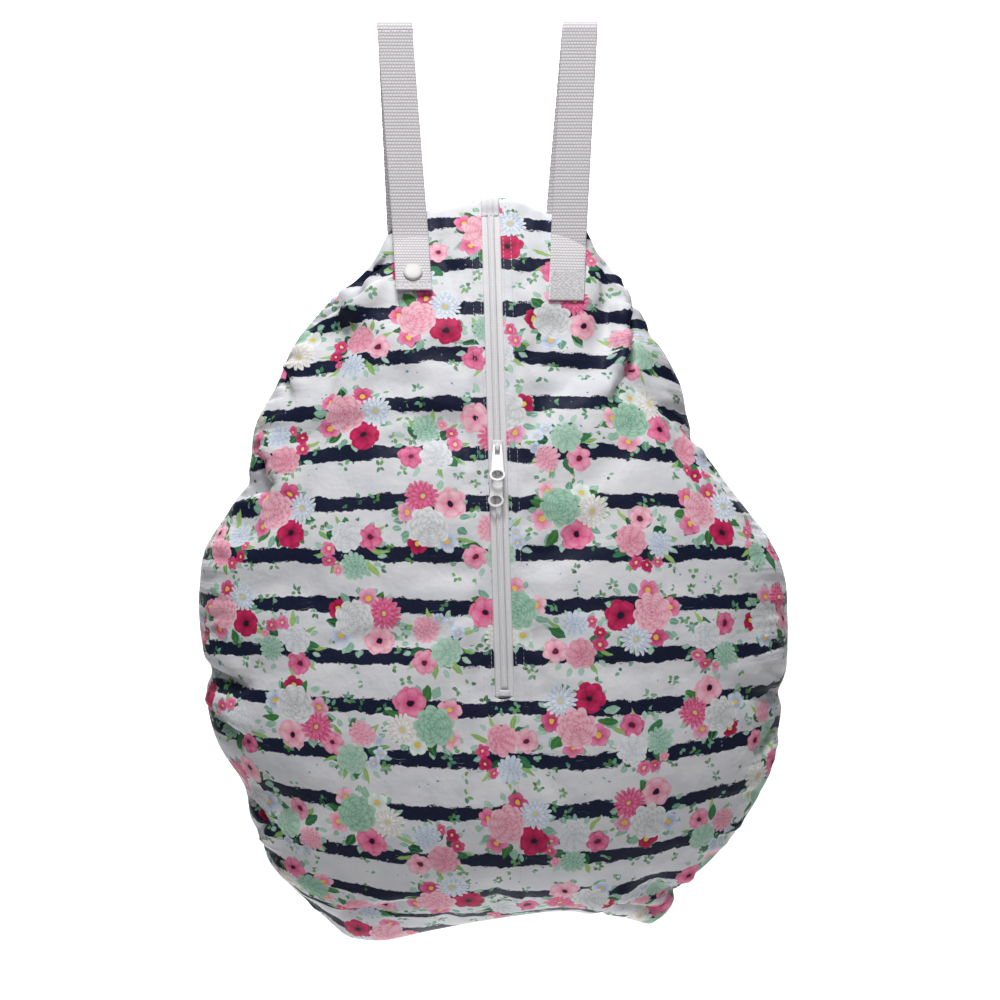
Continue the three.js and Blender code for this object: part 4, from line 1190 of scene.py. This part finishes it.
def make_tape_fold(material):
    """The folded tape end over the crest of the cloth, with the two ridges of the coil in it."""
    half = SLIT_WIDTH / 2 - CLEARANCE
    across = np.linspace(-half, half, 21)
    ridge = 0.8 * coil_ridges(across) + 0.0003 * np.exp(-((np.abs(across) - 0.0052) / 0.0007) ** 2)
    stations = [("front", FOLD_FRONT * share) for share in (1.6, 1.3, 1, 0.8, 0.6, 0.4, 0.25, 0.12)]
    stations += [("crest", -0.0006)]
    stations += [("back", FOLD_BACK * share) for share in (0.15, 0.35, 0.65, 1)]
    x = zip_x(CREST_Z) + across
    points = []
    for face, drop in stations:
        z = panel_z(shares_at(x, CREST_Z - drop)[0], 0) - drop
        if face == "crest":
            points.append(np.stack([x, 0 * x, z + ridge + 0.0009], axis=-1))
            continue
        sink = smoothstep(drop, 0.5 * FOLD_FRONT, 1.6 * FOLD_FRONT) if face == "front" else 0
        lift = (0.0015 - 0.0036 * sink) * slant(face, x, z) + ridge
        y = cloth_y(face, x, z)
        points.append(np.stack([x, y - lift if face == "front" else y + lift, z], axis=-1))
    bm = bmesh.new()
    lofted(bm, np.array(points))
    piece = finish_piece(bm, "zip_tape_end", material, node="zip_tape_fold")
    smooth = piece.modifiers.new("smooth", "SUBSURF")
    smooth.levels = 1
    smooth.render_levels = 1
    closed_sheet(piece, 0.0008, -1.0)
    return piece


COIL_TOP = CLEARANCE + COIL_THICKNESS
PLATE_TOP = COIL_TOP + CLEARANCE + SLIDER_PLATE
BAR_SWING = math.hypot(PULL_BAR, PULL_THICKNESS)
BRIDGE_HOLE = BAR_SWING + 2 * CLEARANCE
BRIDGE_TOP = PLATE_TOP + BRIDGE_HOLE + BRIDGE_CROWN
HINGE_HEIGHT = PLATE_TOP + BRIDGE_HOLE / 2
HINGE_RISE = BRIDGE_LENGTH / 2 - BRIDGE_BAR - CLEARANCE - BAR_SWING / 2


def block(bm, size, centre, bevel, taper=1.0):
    """A box with rounded edges, drawn in at its lower end."""
    made = bmesh.ops.create_cube(bm, size=1)
    verts = made["verts"]
    bmesh.ops.scale(bm, vec=size, verts=verts)
    for vert in verts:
        if vert.co.z < 0:
            vert.co.x *= taper
    edges = list({edge for vert in verts for edge in vert.link_edges})
    bmesh.ops.translate(bm, vec=centre, verts=verts)
    bmesh.ops.bevel(bm, geom=edges, offset=bevel, segments=3, profile=0.5, affect="EDGES", material=-1)


def make_slider(name, drop, material):
    bm = bmesh.new()
    inside = COIL_WIDTH / 2 + CLEARANCE
    outside = inside + SLIDER_FLANGE
    plate_y = -(PLATE_TOP - SLIDER_PLATE / 2)
    block(bm, (2 * outside, SLIDER_PLATE, SLIDER_LENGTH), (0, plate_y, 0), 0.00045, 0.84)
    for side in (-1, 1):
        height = PLATE_TOP - SLIDER_PLATE / 2 - CLEARANCE
        centre = (side * (inside + SLIDER_FLANGE / 2) * 0.96, -CLEARANCE - height / 2, 0.0006)
        block(bm, (SLIDER_FLANGE, height, SLIDER_LENGTH * 0.82), centre, 0.0003)
    half = BRIDGE_LENGTH / 2 - BRIDGE_BAR / 2
    rise = BRIDGE_TOP - SLIDER_PLATE * 0.4
    arch = [(-half, PLATE_TOP - 0.0004), (-half, PLATE_TOP + 0.0009), (-half * 0.82, rise - 0.0002),
            (-half * 0.45, rise), (0, rise), (half * 0.45, rise), (half * 0.82, rise - 0.0002),
            (half, PLATE_TOP + 0.0009), (half, PLATE_TOP - 0.0004)]
    rows = []
    for n, (z, height) in enumerate(arch):
        before, after = arch[max(n - 1, 0)], arch[min(n + 1, len(arch) - 1)]
        run = Vector((0, -(after[1] - before[1]), after[0] - before[0])).normalized()
        out = run.cross(Vector((1, 0, 0)))
        ring = []
        for corner in range(13):
            turn = 2 * math.pi * corner / 12
            wide = BRIDGE_WIDTH / 2 * math.copysign(abs(math.cos(turn)) ** 0.6, math.cos(turn))
            thick = SLIDER_PLATE * 0.4 * math.copysign(abs(math.sin(turn)) ** 0.6, math.sin(turn))
            ring.append(Vector((0, -height, z)) + Vector((wide, 0, 0)) + out * thick)
        rows.append(ring)
    lofted(bm, np.array(rows))
    bmesh.ops.remove_doubles(bm, verts=bm.verts, dist=1e-6)
    bmesh.ops.holes_fill(bm, edges=[edge for edge in bm.edges if edge.is_boundary])
    bmesh.ops.recalc_face_normals(bm, faces=bm.faces)
    bmesh.ops.transform(bm, matrix=on_zip(drop), verts=bm.verts)
    return finish_piece(bm, f"{name}_zip_slider", material, node=f"{name}_slider")


def pull_outline():
    """Half the outline of a pull tab, down one side: pairs of x and reach from the hinge."""
    ring_middle = PULL_LENGTH - PULL_BAR / 2 - RING_HEIGHT / 2
    end = PULL_LENGTH - PULL_BAR / 2
    steps = 34
    side = []
    for i in range(steps + 1):
        reach = -PULL_BAR / 2 + (end + PULL_BAR / 2) * math.sin(i / steps * math.pi / 2)
        neck = PULL_NECK / 2 + 0.0002 + NECK_SPREAD * reach if reach < ring_middle else 0
        from_ring = min(1, abs(reach - ring_middle) / (RING_HEIGHT / 2))
        ring = RING_WIDTH / 2 * math.sqrt(1 - from_ring**2)
        side.append((max(neck, ring), reach))
    return side, ring_middle


def make_pull(name, drop, lift, tilt, material):
    """A flat tab with a window round the bridge and a ring at its end, with rounded edges."""
    round_edge = 0.00028
    side, ring_middle = pull_outline()
    outline = [(max(x - round_edge, 0), -reach) for x, reach in side]
    outline += [(-x, z) for x, z in outline[-2::-1]]
    half = BRIDGE_WIDTH / 2 + CLEARANCE + round_edge
    foot = -(BRIDGE_LENGTH + CLEARANCE) - round_edge
    top = -PULL_BAR / 2 + round_edge
    window = [(-half, top), (half, top), (half, foot), (-half, foot)]
    turns = [2 * math.pi * n / 32 for n in range(32)]
    wide, tall = RING_WIDTH / 2 - RING_WEB + round_edge, RING_HEIGHT / 2 - RING_WEB + round_edge
    eye = [(wide * math.cos(turn), -ring_middle + tall * math.sin(turn)) for turn in turns]
    curve = bpy.data.curves.new("tab_outline", "CURVE")
    curve.dimensions = "2D"
    curve.fill_mode = "BOTH"
    curve.extrude = PULL_THICKNESS / 2 - round_edge
    curve.bevel_depth = round_edge
    curve.bevel_resolution = 3
    for ring in (outline, window, eye):
        spline = curve.splines.new("POLY")
        spline.points.add(len(ring) - 1)
        for point, (x, z) in zip(spline.points, ring):
            point.co = (x, z, 0, 1)
        spline.use_cyclic_u = True
    holder = bpy.data.objects.new("tab_outline", curve)
    bpy.context.scene.collection.objects.link(holder)
    mesh = bpy.data.meshes.new_from_object(holder)
    bpy.data.objects.remove(holder)
    upright = Matrix.Rotation(math.pi / 2, 4, "X")
    hinge = Matrix.Translation((0, -HINGE_HEIGHT, HINGE_RISE))
    turn = Matrix.Rotation(-lift, 4, "X") @ Matrix.Rotation(tilt, 4, "Y")
    mesh.transform(on_zip(drop) @ hinge @ turn @ upright)
    mesh.name = f"{name}_zip_pull"
    piece = finish_mesh(mesh, f"{name}_zip_pull", material, f"{name}_pull",
                        f"{name}_pull_tab")
    return piece


def make_stop(material):
    bm = bmesh.new()
    rise = COIL_THICKNESS + STOP_RISE
    size = (COIL_WIDTH + 2 * SLIDER_FLANGE, rise, STOP_LENGTH)
    block(bm, size, (0, -rise / 2 - 2 * CLEARANCE, 0), 0.0006)
    bmesh.ops.transform(bm, matrix=on_zip(ZIP_DROP - STOP_LENGTH), verts=bm.verts)
    return finish_piece(bm, "moulded_zip_stop", material, node="zip_bottom_stop")


# Press snap

def on_snap(height):
    z = -LEFT_LOOP["length"] + SNAP_FROM_END
    reach = SNAP_DIAMETER / 2
    low, middle, high = leg_depth(LEFT_LOOP, "front", [z - reach, z, z + reach], [0.5])[:, 0]
    lean = Matrix.Rotation(-math.atan2(low - high, 2 * reach), 4, "X")
    place = Vector((float(loop_x(LEFT_LOOP, "front", z)), -middle, z))
    place += (lean @ Vector((0, -1, 0))) * height
    return Matrix.Translation(place) @ lean


def make_snap(material):
    radius = SNAP_DIAMETER / 2
    profile = ((0, 0), (0.9, 0), (0.97, 0.08), (1, 0.25), (0.985, 0.45), (0.95, 0.64), (0.88, 0.8),
               (0.78, 0.9), (0.62, 0.96), (0.42, 0.99), (0.2, 1), (0, 1))
    bm = bmesh.new()
    verts = [bm.verts.new((radius * x, -SNAP_HEIGHT * y, 0)) for x, y in profile]
    edges = [bm.edges.new(pair) for pair in zip(verts, verts[1:])]
    bmesh.ops.spin(bm, geom=verts + edges, cent=(0, 0, 0), axis=(0, 1, 0), dvec=(0, 0, 0),
                   angle=2 * math.pi, steps=48, use_merge=True, use_duplicate=False)
    bmesh.ops.remove_doubles(bm, verts=bm.verts, dist=1e-6)
    bmesh.ops.recalc_face_normals(bm, faces=bm.faces)
    bmesh.ops.transform(bm, matrix=on_snap(STRAP_THICKNESS + CLEARANCE), verts=bm.verts)
    return finish_piece(bm, "round_snap_cap", material, node="snap_cap")


# Stage, light and camera
VIEW_CENTRE = Vector((0.009, 0, -0.338))
VIEW_DISTANCE = 2.2
VIEW_WIDTH = 0.71
SENSOR = 36
FLOOR_Z = -2.1


def paper_material():
    material, wire = new_material("studio_paper")
    place = wire.node("TexCoord", output=3)
    grain = place.noise(40.0, 3.0)
    set_shader(material, Base_Color=grain.mix(rgba(246, 246, 247), rgba(252, 252, 252)), Roughness=0.9)
    return material


def make_stage():
    radius, back = 0.8, 2.2
    turns = [math.pi / 2 * step / 16 for step in range(17)]
    profile = [(-4, 0)]
    profile += [(back + radius * math.sin(t), radius * (1 - math.cos(t))) for t in turns]
    profile += [(back + radius, 4)]
    bm = bmesh.new()
    lofted(bm, np.array([[(x, y, z + FLOOR_Z) for x in (-5, 5)] for y, z in profile]))
    floor = bpy.data.meshes.new("studio_sweep")
    bm.to_mesh(floor)
    bm.free()
    sweep = bpy.data.objects.new("studio_sweep", floor)
    bpy.context.scene.collection.objects.link(sweep)
    for polygon in floor.polygons:
        polygon.use_smooth = True
    floor.materials.append(paper_material())


def make_lights():
    lamps = (
        ("key", (-0.15, -1.1, 1.85), 0.7, 53, Vector((0.009, 0, -0.238))),
        ("fill", (0.25, -2.4, 0.6), 1.0, 9, Vector((0.009, 0, -0.188))),
        ("backdrop", (0, 1.6, 1.6), 2.0, 150, Vector((0, 3, -0.2))),
    )
    for name, place, size, power, target in lamps:
        lamp = bpy.data.lights.new(name, "AREA")
        lamp.energy = power
        lamp.size = size
        holder = bpy.data.objects.new(name, lamp)
        holder.location = place
        holder.rotation_euler = (target - Vector(place)).to_track_quat("-Z", "Y").to_euler()
        bpy.context.scene.collection.objects.link(holder)
    world = bpy.data.worlds.new("studio")
    world.use_nodes = True
    background = world.node_tree.nodes["Background"]
    background.inputs["Color"].default_value = (1, 1, 1, 1)
    background.inputs["Strength"].default_value = 0.08
    bpy.context.scene.world = world


def make_camera():
    camera = bpy.data.objects.new("camera", bpy.data.cameras.new("camera"))
    camera.data.sensor_width = SENSOR
    camera.data.lens = SENSOR * VIEW_DISTANCE / VIEW_WIDTH
    camera.location = VIEW_CENTRE + Vector((0, -VIEW_DISTANCE, 0))
    camera.rotation_euler = (math.pi / 2, 0, 0)
    bpy.context.scene.collection.objects.link(camera)
    bpy.context.scene.camera = camera


make_camera()
make_stage()
make_lights()
bpy.context.scene.view_settings.view_transform = "Standard"

webbing = webbing_material()
tape_weave = tape_material()
thread = smooth_material("thread", (216, 214, 220), (192, 190, 198), 0.6, 300)
coil_white = smooth_material("coil_white", (238, 237, 240), (222, 221, 226), 0.36, 120)
enamel = smooth_material("white_enamel", (230, 229, 230), (220, 219, 221), 0.26, 60, 0.35)
plastic = smooth_material("snap_plastic", (229, 227, 225), (221, 219, 218), 0.42, 80)

make_body(printed_material())
make_loop("left_webbing_loop", LEFT_LOOP, "left_strap_loop", webbing)
make_loop("right_webbing_loop", RIGHT_LOOP, "right_strap_loop", webbing)
make_hem_stitches(thread)
make_tape(tape_weave)
make_tape_fold(tape_weave)
make_coil(tape_weave)
make_topstitch(thread)
make_stop(coil_white)

upper_reach = SLIDER_PITCH - BRIDGE_LENGTH / 2 - HINGE_RISE
upper_lift = math.atan2(BRIDGE_TOP + CLEARANCE + PULL_THICKNESS / 2 - HINGE_HEIGHT, upper_reach)
sliders = (
    ("upper", UPPER_SLIDER_DROP, upper_lift, 0.0),
    ("lower", UPPER_SLIDER_DROP + SLIDER_PITCH, LOWER_PULL_LIFT, LOWER_PULL_TILT),
)
for name, drop, lift, tilt in sliders:
    make_slider(name, drop, enamel)
    make_pull(name, drop, lift, tilt, enamel)

make_snap(plastic)
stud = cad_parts["snap_stud"]
stud.material_slots[0].material = plastic
